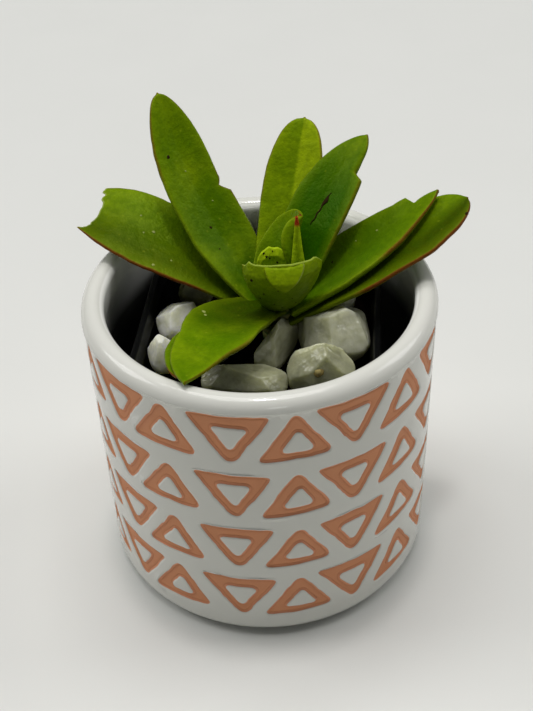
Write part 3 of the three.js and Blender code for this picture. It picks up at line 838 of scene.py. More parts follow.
LEAVES = {
    "leaf_front_torn": dict(
        root=(5, 0, 72), heading=-80, rise=35, rise_end=95, length=21.5, width=22, thick=2.4,
        base=0.45, widest=0.85, fall=3, blunt=2, cup=50, cup_end=55, whole=1.12, rim=0.6,
        torn=[(-1, 0.9), (-0.9, 0.91), (-0.82, 0.985), (-0.7, 0.965), (-0.2, 0.985), (0.3, 0.97),
              (0.62, 0.94), (0.7, 0.96), (0.85, 0.87), (1, 0.78)],
        ruddy=[(-1, 0.6, 1, 0.5), (1, 0.75, 1, 0.4)], lush=0.55, pale_and_lit_patches=[(0.5, 0, 60, 1)]),
    "leaf_heart_spear": dict(
        root=(9.6, 1, 75.5), heading=-80, rise=96, rise_end=92, length=20.4, width=3.8, thick=2.6,
        base=0.98, widest=0.05, fall=1.2, blunt=1.05, cup=50, cup_end=50,
        ruddy=[(0, 0.84, 1, 3.3)], painted_light_lift=1, pale_and_lit_patches=[(0.4, 0, 40, 2)]),
    "leaf_heart_hood": dict(
        root=(4.5, 4, 73), heading=85, sweep=-100, rise=60, rise_end=70, length=21, width=15, thick=2,
        base=0.85, widest=0.6, fall=2, blunt=2, cup=50, cup_end=60, roll=-10,
        ruddy=[(0, 0.97, 1, 2.4)], lush=0.5, pale_and_lit_patches=[(0.5, 0, 60, 0.3)]),
    "leaf_heart_stub": dict(
        root=(4, 3.5, 74), heading=90, rise=80, rise_end=85, length=12, width=8.6, thick=3.2,
        base=0.6, widest=0.7, fall=3, blunt=2, cup=40, cup_end=35, whole=1.15, rim=0.25,
        torn=[(-1, 0.72), (-0.75, 0.86), (-0.5, 0.91), (-0.25, 0.97), (0.05, 0.96), (0.3, 1),
              (0.6, 0.93), (0.8, 0.88), (1, 0.74)],
        painted_light_lift=1, pale_and_lit_patches=[(0.5, 0, 30, 1.9)]),
    "leaf_back_left_tall": dict(
        root=(2, 3, 71), heading=133, sweep=-12, rise=30, rise_end=62, length=58, width=17,
        base=0.55, widest=0.38, fall=2.3, blunt=1.8, cup=30, cup_end=15,
        bites=[(-1, 0.51, 0.55, 0.0, 0.26), (-1, 0.55, 0.58, 0.26, 0.13), (-1, 0.58, 0.85, 0.13, 0)],
        ruddy=[(1, 0.62, 1, 0.55), (-1, 0.42, 0.58, 0.6), (-1, 0.85, 1, 0.55)],
        lush=0.15, painted_shade_side=(-1, 0.15), pale_and_lit_patches=[(0.95, 0, 9, 0.4)]),
    "leaf_right_upper": dict(
        root=(7, 1, 71), heading=17, sweep=10, rise=27, rise_end=30, length=45.5, width=18,
        base=0.65, widest=0.42, fall=1.5, blunt=1.3, cup=35, cup_end=25, roll=-4,
        bites=[(1, 0.78, 0.86, 0.0, -0.2), (1, 0.86, 0.865, -0.2, 0.55), (1, 0.865, 0.9, 0.55, 0.4),
               (1, 0.9, 1, 0.4, 0.2)],
        ruddy=[(-1, 0.5, 1, 0.8), (1, 0.88, 1, 0.8)],
        lush=0.65, pale_and_lit_patches=[(0.5, 0.35, 1.5, 0.95), (0.5, 0, 60, 0.45)]),
    "leaf_back_right": dict(
        root=(6, 3, 71), heading=58, sweep=-24, rise=50, rise_end=42, length=45, width=16.6,
        base=0.68, widest=0.55, fall=2, blunt=1.4, cup=30, cup_end=20,
        bites=[(-1, 0.77, 0.79, 0.0, 0.42), (-1, 0.79, 0.86, 0.42, 0.34), (-1, 0.86, 1, 0.34, 0)],
        ruddy=[(-1, 0.3, 0.76, 0.3), (-1, 0.92, 1, 0.5)], lush=0.95, pale_and_lit_patches=[(0.95, 0, 6, 0.9)]),
    "leaf_back": dict(
        root=(4, 4, 70), heading=77, sweep=-8, rise=42, rise_end=52, length=46.5, width=14.4,
        base=0.8, widest=0.6, fall=2.6, blunt=2, cup=30, cup_end=22,
        ruddy=[(1, 0.5, 1, 0.35), (-1, 0.7, 1, 0.5)],
        painted_light_lift=0.45, pale_side=-1, pale_and_lit_patches=[(0.5, 0.5, 30, 0.3)]),
    "leaf_left_broken": dict(
        root=(0, 6, 70), heading=155, sweep=-1, rise=30, rise_end=8, length=50, width=21,
        base=0.5, widest=0.55, fall=2.2, blunt=2, cup=20, cup_end=10, roll=-14, whole=1.09,
        torn=[(-1, 0.965), (-0.85, 0.975), (-0.7, 0.945), (-0.55, 0.955), (-0.4, 0.935),
              (-0.15, 0.925), (0.3, 0.915), (0.7, 0.925), (1, 0.965)],
        ruddy=[(1, 0.2, 1, 1), (-1, 0.75, 1, 0.5)],
        lush=0.2, painted_shade_side=(1, 0.8), pale_and_lit_patches=[(0.6, 0, 60, 0.2)]),
    "leaf_right_lower": dict(
        root=(7, 0, 69), heading=7, sweep=21, rise=29, rise_end=23, length=51.5, width=17.6,
        base=0.5, widest=0.6, fall=2.3, blunt=1.8, cup=25, cup_end=10,
        ruddy=[(-1, 0.3, 1, 1), (1, 0.9, 1, 0.7)],
        lush=0.3, painted_shade_side=(-1, 1.2), pale_and_lit_patches=[(0.7, 0.3, 14, 0.4)]),
    "leaf_front_left": dict(
        root=(3, 1, 71), heading=-138, sweep=40, rise=20, rise_end=4, length=44, width=19,
        base=0.5, widest=0.5, fall=1.6, blunt=1.3, cup=25, cup_end=12,
        bites=[(-1, 0.42, 0.6, 0, 0.24), (-1, 0.6, 1, 0.24, 0)],
        ruddy=[(1, 0.5, 1, 0.5)], lush=0.1, painted_shade_base=1.8),
    "leaf_front_left_old": dict(
        root=(1, -1, 68), heading=-144, sweep=44, rise=24, rise_end=8, length=39.5, width=13, thick=2.4,
        base=0.4, widest=0.6, fall=1.8, blunt=1.5, cup=20, cup_end=10,
        ruddy=[(0, 0.9, 1, 1.5)], lush=0.5),
}

# Small marks on the leaves: (along, across, radius in mm), along from 0 to 1 and across from -1 to 1.
SCABS = {
    "leaf_back_left_tall": [(0.74, 0.55, 0.5), (0.4, 0.2, 0.32), (0.3, 0.35, 0.22)],
    "leaf_right_upper": [(0.33, 0.35, 0.26), (0.28, 0.62, 0.4)],
    "leaf_heart_hood": [
        (0.32, 0.1, 0.3), (0.25, 0.2, 0.45), (0.38, -0.1, 0.35), (0.45, 0.05, 0.25), (0.3, -0.3, 0.4),
        (0.22, -0.1, 0.5), (0.52, -0.2, 0.3)],
    "leaf_heart_stub": [
        (0.7, -0.2, 0.3), (0.8, 0.3, 0.25), (0.62, 0.5, 0.2), (0.9, 0.62, 0.34), (0.84, 0.5, 0.3),
        (0.93, 0.1, 0.2)],
    "leaf_right_lower": [(0.93, -0.97, 0.5)],
}
BACK_SCABS = {
    "leaf_front_torn": [
        (0.78, -0.72, 0.4), (0.62, -0.5, 0.26), (0.5, -0.62, 0.2), (0.45, -0.3, 0.22), (0.7, -0.2, 0.18),
        (0.4, 0.25, 0.22), (0.55, 0.1, 0.16), (0.36, -0.1, 0.2)],
}
CALLUSES = {
    "leaf_left_broken": [
        (0.62, -0.05, 0.4), (0.66, 0.1, 0.24), (0.46, 0.5, 0.26), (0.52, 0.86, 0.42), (0.72, -0.3, 0.25)],
    "leaf_front_left": [(0.4, -0.72, 0.5), (0.42, -0.6, 0.35)],
    "leaf_back_left_tall": [(0.66, 0.1, 0.22), (0.5, -0.3, 0.2)],
    "leaf_right_upper": [(0.62, 0.3, 0.3), (0.5, 0.45, 0.2)],
}


class LeafShape:
    """The geometry of one leaf: its centre line, its outline, its surface and its colouring."""

    def __init__(self, leaf, seed):
        self.leaf = leaf
        self.seed = seed
        s = np.linspace(0, 1, LINE_POINTS)
        heading = np.radians(leaf["heading"] + leaf["sweep"] * s)
        rise = np.radians(leaf["rise"] + (leaf["rise_end"] - leaf["rise"]) * s)
        along = np.stack([np.cos(rise) * np.cos(heading), np.cos(rise) * np.sin(heading), np.sin(rise)], -1)
        level = np.stack([-np.sin(heading), np.cos(heading), np.zeros_like(s)], -1)
        roll = math.radians(leaf["roll"])
        self.places = s
        self.side = level * math.cos(roll) + np.cross(along, level) * math.sin(roll)
        self.up = np.cross(along, self.side)
        steps = along[:-1] * (leaf["length"] * MM / (LINE_POINTS - 1))
        self.line = np.array(leaf["root"]) * MM + np.vstack([np.zeros(3), np.cumsum(steps, 0)])

    def at(self, vectors, s):
        """One of the centre line's vectors, at s along it."""
        return np.array([np.interp(s, self.places, vectors[:, k]) for k in range(3)])

    def outline(self, s):
        """Half width at s, as a share of the widest half width."""
        leaf = self.leaf
        s = s / leaf["whole"]
        if s < leaf["widest"]:
            swell = math.sin(math.pi / 2 * s / leaf["widest"]) ** SWELL
            return leaf["base"] + (1 - leaf["base"]) * swell
        beyond = (s - leaf["widest"]) / (1 - leaf["widest"])
        return max(LEAST_WIDTH, max(0.0, 1 - beyond ** leaf["fall"]) ** (1 / leaf["blunt"]))

    def bitten(self, s, v):
        """How much of the half width is left beside the bites, with the small waves of a live margin."""
        side = 1 if v > 0 else -1
        left = 1.0
        for waves, height in MARGIN_WAVES:
            left += height * noise.noise(Vector((s * waves, side * 3.3, self.seed * 5.1)))
        for bite_side, start, end, depth_start, depth_end in self.leaf["bites"]:
            if bite_side == side and start <= s <= end:
                left -= depth_start + (depth_end - depth_start) * (s - start) / (end - start)
        return left

    def reach(self, v):
        """How far along the leaf its end is, at v across."""
        torn = self.leaf["torn"]
        if not torn:
            return 1.0
        return float(np.interp(v, *zip(*torn))) + 0.008 * noise.noise(Vector((v * 14, self.seed * 3.7, 0)))

    def point(self, s, v):
        """The middle sheet's point, its normal and the leaf's thickness at s along and v across."""
        leaf = self.leaf
        share = self.outline(s)
        half = share * leaf["width"] / 2 * MM * self.bitten(s, v)
        bend = math.radians(leaf["cup"] + (leaf["cup_end"] - leaf["cup"]) * s)
        angle = v * bend
        side, up, place = self.at(self.side, s), self.at(self.up, s), self.at(self.line, s)
        place = place + side * (half / bend) * math.sin(angle) + up * (half / bend) * (1 - math.cos(angle))
        normal = up * math.cos(angle) - side * math.sin(angle)
        across = MARGIN_SHARE + (1 - MARGIN_SHARE) * math.sqrt(max(0, 1 - v * v))
        # Thinner towards a whole tip, and towards a torn edge.
        endwise = 0.35 + 0.65 * min(1, share * 1.2)
        if leaf["torn"]:
            endwise *= min(1.0, 0.25 + (self.reach(v) - s) * 6)
        ripple = 0.0
        for waves, height in SKIN_WAVES:
            ripple += noise.noise(Vector(place) * waves + Vector((self.seed * 7.0, 0, 0))) * height * MM
        place = place + normal * ripple * (0.4 + 0.6 * abs(v)) * min(1, s * 3)
        return place, normal, leaf["thick"] * MM * across * endwise

    def skin(self, s, v, face):
        """A point on the upper (1) or lower (-1) skin, and the way out of it."""
        place, normal, thick = self.point(s, v)
        if face < 0:
            return place - normal * thick * (1 - UPPER_SHARE), -normal
        crease = (1 - abs(v)) ** 6 * CREASE * math.sin(math.pi * min(1, s * 1.05))
        return place + normal * (thick * UPPER_SHARE - crease), normal

    def colouring(self, s, v):
        """The values that the leaf's material follows, at s along and v across."""
        leaf = self.leaf
        side = 1 if v > 0 else -1
        red = 0.0
        for ruddy_side, start, end, strength in leaf["ruddy"]:
            if ruddy_side in (0, side):
                fade_in = min(1.0, max(0.0, (s - start) / RUDDY_FADE))
                fade_out = min(1.0, max(0.0, (end + RUDDY_FADE - s) / RUDDY_FADE))
                red = max(red, strength * fade_in * fade_out)
        pale = 1.0 if v * leaf["pale_side"] > 0.08 else 0.0
        # Paler patches, where one of strength 1 or more is painted light on a leaf in shade.
        for along, across, radius, strength in leaf["pale_and_lit_patches"]:
            away = math.hypot((s - along) * leaf["length"], (v - across) * leaf["width"] / 2) / radius
            pale = max(pale, strength * math.exp(-away * away))
        # Painted shade on the leaf's shaded side, and further towards its base.
        painted_shade_side, strength = leaf["painted_shade_side"]
        painted_shade = strength * max(0.0, min(1.0, 0.4 + v * painted_shade_side))
        return {
            "margin": max(abs(v), 0 if leaf["torn"] else s ** 40),
            # Lifted out of the base's dark green by painted light on leaves in shade.
            "reach": max(s, leaf["painted_light_lift"]),
            "torn": 0.0,
            "ruddy": red,
            "pale": pale,
            "lush": leaf["lush"] * (1 - 0.6 * max(0.0, s - 0.6) / 0.4),
            "painted_shade": painted_shade + leaf["painted_shade_base"] * max(0.0, 1 - s / 0.6),
        }


def two_sheets(rows, columns):
    """The faces of two sheets back to back, each a grid of vertices, and the loop round the first one."""
    wide = columns + 1
    count = (rows + 1) * wide
    faces = []
    for i in range(rows):
        for j in range(columns):
            a = i * wide + j
            faces.append((a, a + wide, a + wide + 1, a + 1))
            faces.append((count + a, count + a + 1, count + a + wide + 1, count + a + wide))
    border = [i * wide for i in range(rows + 1)] + [rows * wide + j for j in range(1, wide)]
    border += [i * wide + columns for i in range(rows - 1, -1, -1)] + list(range(columns - 1, 0, -1))
    return count, faces, border


def leaf_mesh(leaf, seed):
    """One closed leaf: an upper and a lower skin joined by a rounded margin."""
    shape = LeafShape(leaf, seed)
    upper, lower, colours = [], [], []
    for i in range(LEAF_ROWS + 1):
        for v in np.sin(np.linspace(-1, 1, LEAF_COLUMNS + 1) * math.pi / 2):
            s = max(0.0, min(1.0, shape.reach(v) * i / LEAF_ROWS))
            upper.append(tuple(shape.skin(s, v, 1)[0]))
            lower.append(tuple(shape.skin(s, v, -1)[0]))
            colours.append(shape.colouring(s, v))
            if leaf["torn"] and i == LEAF_ROWS:
                colours[-1]["torn"] = leaf["rim"]
    count, faces, border = two_sheets(LEAF_ROWS, LEAF_COLUMNS)
    vertices = upper + lower
    colours *= 2
    # The margin's ridge lies half-way between the skins and a little outside them.
    for before, a, after in zip(border[-1:] + border, border, border[1:] + border[:1]):
        top, bottom = Vector(vertices[a]), Vector(vertices[count + a])
        outward = (Vector(vertices[after]) - Vector(vertices[before])).cross(top - bottom).normalized()
        vertices.append(tuple((top + bottom) / 2 + outward * (top - bottom).length * 0.3))
        colours.append({**colours[a], "margin": 1.0})
    total = len(border)
    for k, a in enumerate(border):
        after = (k + 1) % total
        ridge, next_ridge = 2 * count + k, 2 * count + after
        faces.append((a, ridge, next_ridge, border[after]))
        faces.append((ridge, count + a, count + border[after], next_ridge))
    values = {key: [colour[key] for colour in colours] for key in LEAF_VALUES}
    return shape, vertices, faces, values


BLISTER_RINGS = 3
BLISTER_SIDES = 10
BLISTER_TOP = 0.96          # less than 1 leaves a small flat top
BLISTER_ROOT = 0.1 * MM     # how far a blister is let into the skin


def blister(centre, outward, radius, height, chance):
    """A small flat lump lying on a skin, as vertices and faces."""
    centre, outward = Vector(centre), Vector(outward).normalized()
    across = outward.orthogonal().normalized()
    along = outward.cross(across)
    wobble = [chance.uniform(0.75, 1.2) for _ in range(BLISTER_SIDES)]
    rings = []
    for angle in np.linspace(0, math.pi / 2, BLISTER_RINGS + 1):
        middle = centre + outward * (height * math.sin(angle))
        flat = radius * math.cos(angle * BLISTER_TOP)
        rings.append([
            middle + (across * math.cos(turn) + along * math.sin(turn)) * flat * share
            for turn, share in zip(np.linspace(0, math.tau, BLISTER_SIDES, endpoint=False), wobble)])
    vertices, faces = stack(rings)
    # Its underside is a shallow cone, let into the skin.
    base = len(vertices)
    vertices.append(centre - outward * BLISTER_ROOT)
    faces[-2:-1] = [((i + 1) % BLISTER_SIDES, i, base) for i in range(BLISTER_SIDES)]
    return vertices, faces


def spots_piece(name, shape, spots, face, height, material, chance):
    """One mesh of every spot of a kind on a leaf."""
    vertices, faces = [], []
    for along, across, radius in spots:
        centre, outward = shape.skin(along, across, face)
        add_lump(vertices, faces, *blister(centre, outward, radius * MM, height * MM, chance))
    make_piece(name, vertices, faces, [material], [])


SCAR_STEPS = 26
SCAR_THICK = 0.2 * MM
SCAR_ROOT = 0.05 * MM       # how far the scar is let into the skin
SCAR_KNOT = (0.74, 0.18)    # place along the scar and half length of its knot


def leaf_scar(shape, material):
    """The long dark scar of a cut on the leaf at the back right, with a knot near its upper end."""
    rings = []
    for share in np.linspace(0, 1, SCAR_STEPS + 1):
        along = 0.44 + 0.2 * share
        across = 0.06 - 0.18 * share + 0.016 * math.sin(share * 23)
        knot = 0.07 * max(0.0, 1 - abs(share - SCAR_KNOT[0]) / SCAR_KNOT[1])
        half = 0.008 + 0.014 * math.sin(math.pi * share) + knot
        outward = shape.skin(along, across, 1)[1]
        under = [shape.skin(along, across + half * side, 1)[0] - outward * SCAR_ROOT for side in (-1, 0, 1)]
        rings.append([place + outward * SCAR_THICK for place in under] + under[::-1])
    vertices, faces = stack(rings)
    weld(make_piece("leaf_scar", vertices, faces, [material], []))


FLAP_LEFT, FLAP_RIGHT = -0.44, 0.34   # where across the leaf its fold starts and ends
FLAP_APEX = (-0.08, 0.77)             # where across and along the leaf its hanging corner lies
FLAP_ROWS = 26
FLAP_COLUMNS = 18
FLAP_THICK = 0.45 * MM


def leaf_flap(shape, green):
    """The torn upper part of the front leaf, folded outward and hanging over its outer skin."""
    apex_across, apex_along = FLAP_APEX
    outer, inner, colours = [], [], []
    for down in np.linspace(0, 1, FLAP_ROWS + 1):
        for share in np.linspace(0, 1, FLAP_COLUMNS + 1):
            start = FLAP_LEFT + (FLAP_RIGHT - FLAP_LEFT) * share
            left_bow = 0.05 * math.sin(math.pi * down) * (1 - share)
            across = start + (apex_across - start) * down - left_bow
            along = shape.reach(start) - (shape.reach(start) - apex_along) * down ** 0.9
            place, outward = shape.skin(along, across, -1)
            # It lifts off the leaf just below the fold, most of all in the middle.
            lift = 0.25 + 1.5 * math.sin(math.pi * min(1, down * 1.15) / 2) ** 0.7
            lift += 0.5 * math.sin(math.pi * share) * (1 - down)
            outer.append(tuple(place + outward * (lift * MM + FLAP_THICK)))
            inner.append(tuple(place + outward * lift * MM))
            colours.append({
                "margin": 0.8, "reach": 0.9, "torn": float(share == 1), "ruddy": 1.6 * (share == 0),
                "pale": 0.6, "lush": 0.1, "painted_shade": 0.0})
    count, faces, border = two_sheets(FLAP_ROWS, FLAP_COLUMNS)
    for a, b in zip(border, border[1:] + border[:1]):
        faces.append((a, count + a, count + b, b))
    values = {key: [colour[key] for colour in colours * 2] for key in LEAF_VALUES}
    flap = make_piece("leaf_front_torn_flap", outer + inner, faces, [green], [], values=values)
    weld(flap, 0.01 * MM)


class SUCCULENT_OT_leaves(bpy.types.Operator):
    """Builds every leaf of the rosette, with its scars, its calluses and its torn flap"""
    bl_idname = "succulent.leaves"
    bl_label = "Leaves"

    def execute(self, context):
        settings = context.scene.succulent_leaf
        green = living_leaf(settings)
        scab = corky_tissue(
            "dry_scab", 3.0, settings.scab, linear("#3A2A12"), {"Roughness": 0.9, "Specular IOR Level": 0.05})
        callus = corky_tissue("pale_callus", 2.0, linear("#7E8E34"), linear("#A2A862"), {"Roughness": 0.7})
        chance = random.Random(23)
        marks = [
            ("_specks", SCABS, 1, 0.14, scab), ("_back_specks", BACK_SCABS, -1, 0.1, scab),
            ("_calluses", CALLUSES, 1, 0.08, callus)]
        for seed, (name, leaf) in enumerate(LEAVES.items()):
            shape, vertices, faces, values = leaf_mesh({**PLAIN_LEAF, **leaf}, seed)
            piece = make_piece(name + "_live", vertices, faces, [green], [name], values=values)
            weld(piece, 0.0005 * MM)
            for ending, places, face, height, material in marks:
                if name in places:
                    spots_piece(name + ending, shape, places[name], face, height, material, chance)
            if name == "leaf_back_right":
                leaf_scar(shape, scab)
            if name == "leaf_front_torn":
                leaf_flap(shape, green)
        return {"FINISHED"}


STEM_SIDES = 28
STEM_RINGS = 26


class SUCCULENT_OT_stem(bpy.types.Operator):
    """Gives the short stem its finish"""
    bl_idname = "succulent.stem"
    bl_label = "Stem"

    def execute(self, context):
        settings = context.scene.succulent_leaf
        low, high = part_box("stem")
        x, y = (low[0] + high[0]) / 2, (low[1] + high[1]) / 2
        widest = (high[0] - low[0]) / 2
        turns = np.linspace(0, math.tau, STEM_SIDES, endpoint=False)
        rings = []
        for share in np.linspace(0, 1, STEM_RINGS):
            z = low[2] + (high[2] - low[2]) * share
            knuckle = 1 + 0.05 * math.sin(share * 50)
            radius = widest * (0.7 + 0.3 * math.sin(math.pi * min(1, share * 1.2) / 2)) * knuckle * 0.95
            radius *= 1 - 0.45 * max(0, share - 0.8) / 0.2
            rings.append([(x + radius * math.cos(turn), y + radius * math.sin(turn), z) for turn in turns])
        vertices, faces = stack(rings)
        make_piece("stem_live", vertices, faces, [green_stem(settings)], ["stem"])
        return {"FINISHED"}


# ---------------------------------------------------------------- pebbles

# Each pebble is a lump cut by its cleavage faces: (azimuth, elevation, depth), degrees and a share of the
# lump's half size, in the lump's own turned frame, with the lump's half sizes in millimetres. `glassy` runs
# from 0, milky, to 1, dark and clear.
PEBBLES = {
    "pebble_01": dict(half=(7, 5.4, 5.8), turn=10, glassy=0, cuts=[
        (200, 20, 0.8), (285, 35, 0.72), (340, 30, 0.85), (90, 60, 0.8), (150, 50, 0.75), (30, 20, 0.85)]),
    "pebble_02": dict(half=(3.9, 5, 5.4), turn=14, glassy=0, cuts=[
        (190, 30, 0.72), (250, 20, 0.8), (320, 35, 0.75), (40, 50, 0.78), (120, 40, 0.75), (0, 85, 0.86)]),
    # Its dark, clear tone is partly painted shade, for it lies in the shade under a leaf.
    "pebble_03": dict(half=(5.4, 4.4, 5), turn=-20, glassy=0.9, cuts=[
        (200, 30, 0.75), (280, 40, 0.7), (10, 35, 0.8), (100, 60, 0.8)]),
    "pebble_04": dict(half=(10.4, 4.0, 6.4), turn=58, glassy=0.75, cuts=[
        (270, 28, 0.62), (200, 25, 0.66), (330, 50, 0.72), (90, 45, 0.66), (20, 30, 0.8), (160, 60, 0.7)]),
    "pebble_05": dict(half=(11.6, 4.6, 5.4), turn=-4, glassy=0.8, cuts=[
        (95, 62, 0.6), (270, 50, 0.6), (12, 66, 0.42), (345, 40, 0.6), (190, 40, 0.75)]),
    "pebble_06": dict(half=(9.7, 9.2, 8.4), turn=8, glassy=0.58, cuts=[
        (215, 30, 0.74), (298, 38, 0.7), (345, 26, 0.8), (120, 62, 0.66), (30, 50, 0.8), (75, 25, 0.8),
        (180, 12, 0.84)]),
    "pebble_07": dict(half=(9.0, 5.0, 8.2), turn=6, glassy=0.78, cuts=[
        (196, 54, 0.42), (344, 50, 0.5), (268, 30, 0.74), (80, 50, 0.6), (20, 20, 0.86), (225, 10, 0.84)]),
    "pebble_08": dict(half=(6.2, 4.4, 7.6), turn=20, glassy=0.5, cuts=[
        (200, 40, 0.7), (280, 30, 0.75), (20, 50, 0.7), (110, 35, 0.75)]),
    "pebble_09": dict(half=(6.4, 5, 4.8), turn=-10, glassy=0.4, cuts=[
        (190, 50, 0.7), (270, 25, 0.72), (350, 40, 0.75), (90, 40, 0.7)]),
    "pebble_10": dict(half=(6, 5.2, 4.8), turn=70, glassy=0.5, cuts=[
        (180, 30, 0.75), (260, 45, 0.7), (330, 25, 0.8), (80, 50, 0.7)]),
    "pebble_11": dict(half=(5, 4.2, 4.2), turn=-35, glassy=0.5, cuts=[
        (190, 35, 0.75), (260, 50, 0.7), (350, 30, 0.8), (90, 40, 0.75)]),
}
LUMP_POWER = 2.6       # 2 is a ball and more is boxier
EDGE_SHARPNESS = 62.0  # how sharply two cleavage faces meet
FURTHEST_FACE = 1.6    # beyond this share of the half size, a face doesn't bound the lump
FACE_HOLLOW = 0.05     # how far broken faces are hollowed and stepped, as a share of the half size
FLECK_FACING = (255, 38)   # azimuth and elevation of the fleck on its pebble, in degrees
# The fleck's rim and its lighter heart: radius, height and lift in mm, seed and colour.
FLECKS = [
    ("pebble_fleck", 1.35, 0.3, 0.0, 3, "#5E5226"),
    ("pebble_fleck_heart", 0.7, 0.35, 0.2, 5, "#9A8F5A"),
]


def facing_direction(azimuth, elevation):
    """A unit direction from its azimuth and elevation in degrees."""
    azimuth, elevation = math.radians(azimuth), math.radians(elevation)
    level = math.cos(elevation)
    return np.array([level * math.cos(azimuth), level * math.sin(azimuth), math.sin(elevation)])


def pebble_mesh(order, pebble, low, high, roughness):
    """A piece of quartz bounded by worn cleavage faces, scaled to fill its place."""
    ball, faces = ball_mesh(6, 1.0)
    points = np.array([point[:] for point in ball])
    lump = (np.abs(points) ** LUMP_POWER).sum(1) ** (-1 / LUMP_POWER)
    limits = [lump]
    for azimuth, elevation, depth in pebble["cuts"]:
        facing = np.maximum(points @ facing_direction(azimuth, elevation), 0.05)
        limits.append(depth / facing)
    limits = np.minimum(np.array(limits), FURTHEST_FACE)
    drift = Vector((order * 5.1, 0, 0))
    # Every face is a little hollowed and stepped, as broken quartz is.
    steps = np.array([noise.noise(Vector(p) * 2.4 + drift) for p in points])
    limits[1:] *= 1 + FACE_HOLLOW * steps
    reach = -np.log(np.exp(-EDGE_SHARPNESS * limits).sum(0)) / EDGE_SHARPNESS
    points = points * reach[:, None]
    rough = np.array([noise.fractal(Vector(p) * 5 + drift, 0.9, 2.1, 5) for p in points])
    points = points * (1 + roughness * rough)[:, None]
    spin = np.array(Matrix.Rotation(math.radians(pebble["turn"]), 3, "Z"))
    points = (points * np.array(pebble["half"]) * MM) @ spin.T
    size = np.array(high) - np.array(low)
    span = points.max(0) - points.min(0)
    points = (points - points.min(0)) / span * size + np.array(low)
    return points, faces


def quartz_fleck(points, settings):
    """A rusty inclusion on the front of a pebble."""
    middle = (points.max(0) + points.min(0)) / 2
    towards = facing_direction(*FLECK_FACING)
    place = points[np.argmax((points - middle) @ towards / np.linalg.norm(points - middle, axis=1))]
    for name, radius, height, lift, seed, tone in FLECKS:
        centre = place + towards * lift * MM
        vertices, faces = blister(centre, towards, radius * MM, height * MM, random.Random(seed))
        make_piece(name, vertices, faces, [iron_stain(settings, tone)], [])


class SUCCULENT_OT_pebbles(bpy.types.Operator):
    """Builds the broken quartz on the soil"""
    bl_idname = "succulent.pebbles"
    bl_label = "Pebbles"

    def execute(self, context):
        settings = context.scene.succulent_pebble
        quartz = milky_quartz(settings)
        for order, (name, pebble) in enumerate(PEBBLES.items()):
            low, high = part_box(name)
            points, faces = pebble_mesh(order, pebble, low, high, settings.roughness)
            glassy = [pebble["glassy"]] * len(points)
            make_piece(name + "_quartz", points, faces, [quartz], [name], values={"glassy": glassy})
            if name == "pebble_07":
                quartz_fleck(points, settings)
        return {"FINISHED"}


# ---------------------------------------------------------------- stage

FLOOR_SIZE = 6
ROOM_LIGHT = 0.04
WARM, NEUTRAL = (1.0, 0.99, 0.98), (1.0, 1.0, 1.0)
# Square soft lights: name, place and target in metres, size in metres, power in watts, and colour.
LIGHTS = [
    ("overhead", (-0.1, 0.45, 2.75), (0, 0, 0), 1.7, 42, WARM),
    ("lamp", (0, 0.16, 2.75), (0, 0, 0), 0.25, 13, WARM),
    ("front", (0.3, -2.4, 1.1), (0, 0, 0.07), 0.5, 3.5, NEUTRAL),
    ("left", (-2.0, 0.5, 1.9), (0, 0, 0.05), 1.2, 21, NEUTRAL),
    ("right", (2.0, 0.6, 1.9), (0, 0, 0.05), 1.2, 17, NEUTRAL),
]


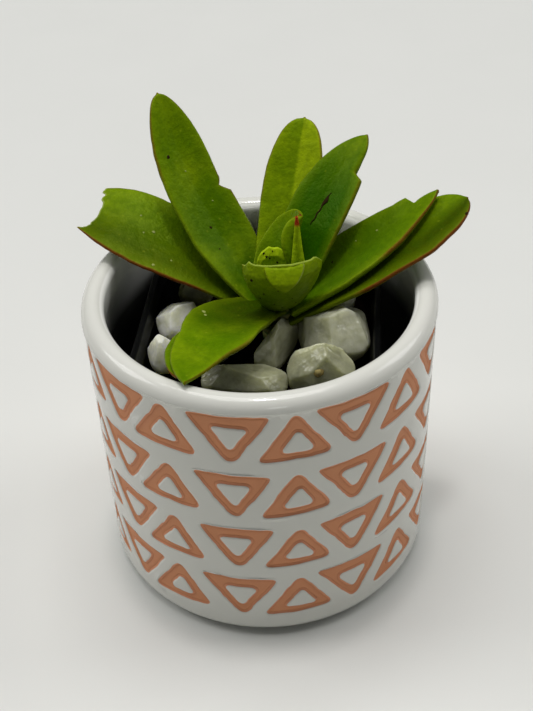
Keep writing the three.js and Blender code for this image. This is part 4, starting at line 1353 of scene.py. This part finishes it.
class SUCCULENT_OT_stage(bpy.types.Operator):
    """Lays the floor and sets the lights and the camera"""
    bl_idname = "succulent.stage"
    bl_label = "Stage"

    def execute(self, context):
        settings = context.scene.succulent_stage
        scene = context.scene
        bpy.ops.mesh.primitive_plane_add(size=FLOOR_SIZE, location=(0, 0, 0))
        floor = context.object
        floor.name = "floor"
        floor.data.materials.append(painted_board(settings))

        world = bpy.data.worlds.new("soft_room")
        world.use_nodes = True
        background = world.node_tree.nodes["Background"].inputs
        background["Color"].default_value = (0.95, 0.97, 1.0, 1.0)
        background["Strength"].default_value = ROOM_LIGHT
        scene.world = world
        for name, place, target, size, power, tone in LIGHTS:
            data = bpy.data.lights.new(name, "AREA")
            data.energy = power
            data.size = size
            data.color = tone
            light = bpy.data.objects.new(name, data)
            light.location = place
            light.rotation_euler = (Vector(target) - Vector(place)).to_track_quat("-Z", "Y").to_euler()
            scene.collection.objects.link(light)

        yaw, pitch, roll = settings.yaw, settings.pitch, -settings.roll
        look = Vector((math.sin(yaw) * math.cos(pitch), math.cos(yaw) * math.cos(pitch), -math.sin(pitch)))
        right = look.cross(Vector((0, 0, 1))).normalized()
        up = right.cross(look)
        leaning_right = math.cos(roll) * right + math.sin(roll) * up
        leaning_up = -math.sin(roll) * right + math.cos(roll) * up
        data = bpy.data.cameras.new("camera")
        data.lens = settings.lens
        data.sensor_width = 36
        data.clip_start = 0.01
        camera = bpy.data.objects.new("camera", data)
        axes = Matrix((leaning_right, leaning_up, -look)).transposed().to_4x4()
        camera.matrix_world = Matrix.Translation((0, -settings.distance, settings.height)) @ axes
        scene.collection.objects.link(camera)
        scene.camera = camera
        scene.view_settings.view_transform = "Standard"
        return {"FINISHED"}


# ---------------------------------------------------------------- panel and registration

SETTINGS = {
    "succulent_pot": SucculentPotSettings,
    "succulent_nursery": SucculentNurserySettings,
    "succulent_soil": SucculentSoilSettings,
    "succulent_pebble": SucculentPebbleSettings,
    "succulent_leaf": SucculentLeafSettings,
    "succulent_stage": SucculentStageSettings,
}
OPERATORS = [
    SUCCULENT_OT_stage,
    SUCCULENT_OT_ceramic_pot,
    SUCCULENT_OT_nursery_pot,
    SUCCULENT_OT_soil,
    SUCCULENT_OT_pebbles,
    SUCCULENT_OT_stem,
    SUCCULENT_OT_leaves,
]


class SUCCULENT_PT_panel(bpy.types.Panel):
    """Lists the sizes, the colours and the operators"""
    bl_idname = "SUCCULENT_PT_panel"
    bl_label = "Potted succulent"
    bl_space_type = "VIEW_3D"
    bl_region_type = "UI"
    bl_category = "Succulent"

    def draw(self, context):
        layout = self.layout
        for operator in OPERATORS:
            layout.operator(operator.bl_idname)
        for key, group in SETTINGS.items():
            box = layout.box()
            box.label(text=group.__doc__)
            for name in group.__annotations__:
                box.prop(getattr(context.scene, key), name)


CLASSES = [*SETTINGS.values(), *OPERATORS, SUCCULENT_PT_panel]


def register():
    for cls in CLASSES:
        bpy.utils.register_class(cls)
    for key, group in SETTINGS.items():
        setattr(bpy.types.Scene, key, bpy.props.PointerProperty(type=group))


def unregister():
    for key in SETTINGS:
        delattr(bpy.types.Scene, key)
    for cls in reversed(CLASSES):
        bpy.utils.unregister_class(cls)


def main():
    register()
    for operator in OPERATORS:
        group, name = operator.bl_idname.split(".")
        getattr(getattr(bpy.ops, group), name)()


if __name__ == "__main__":
    main()
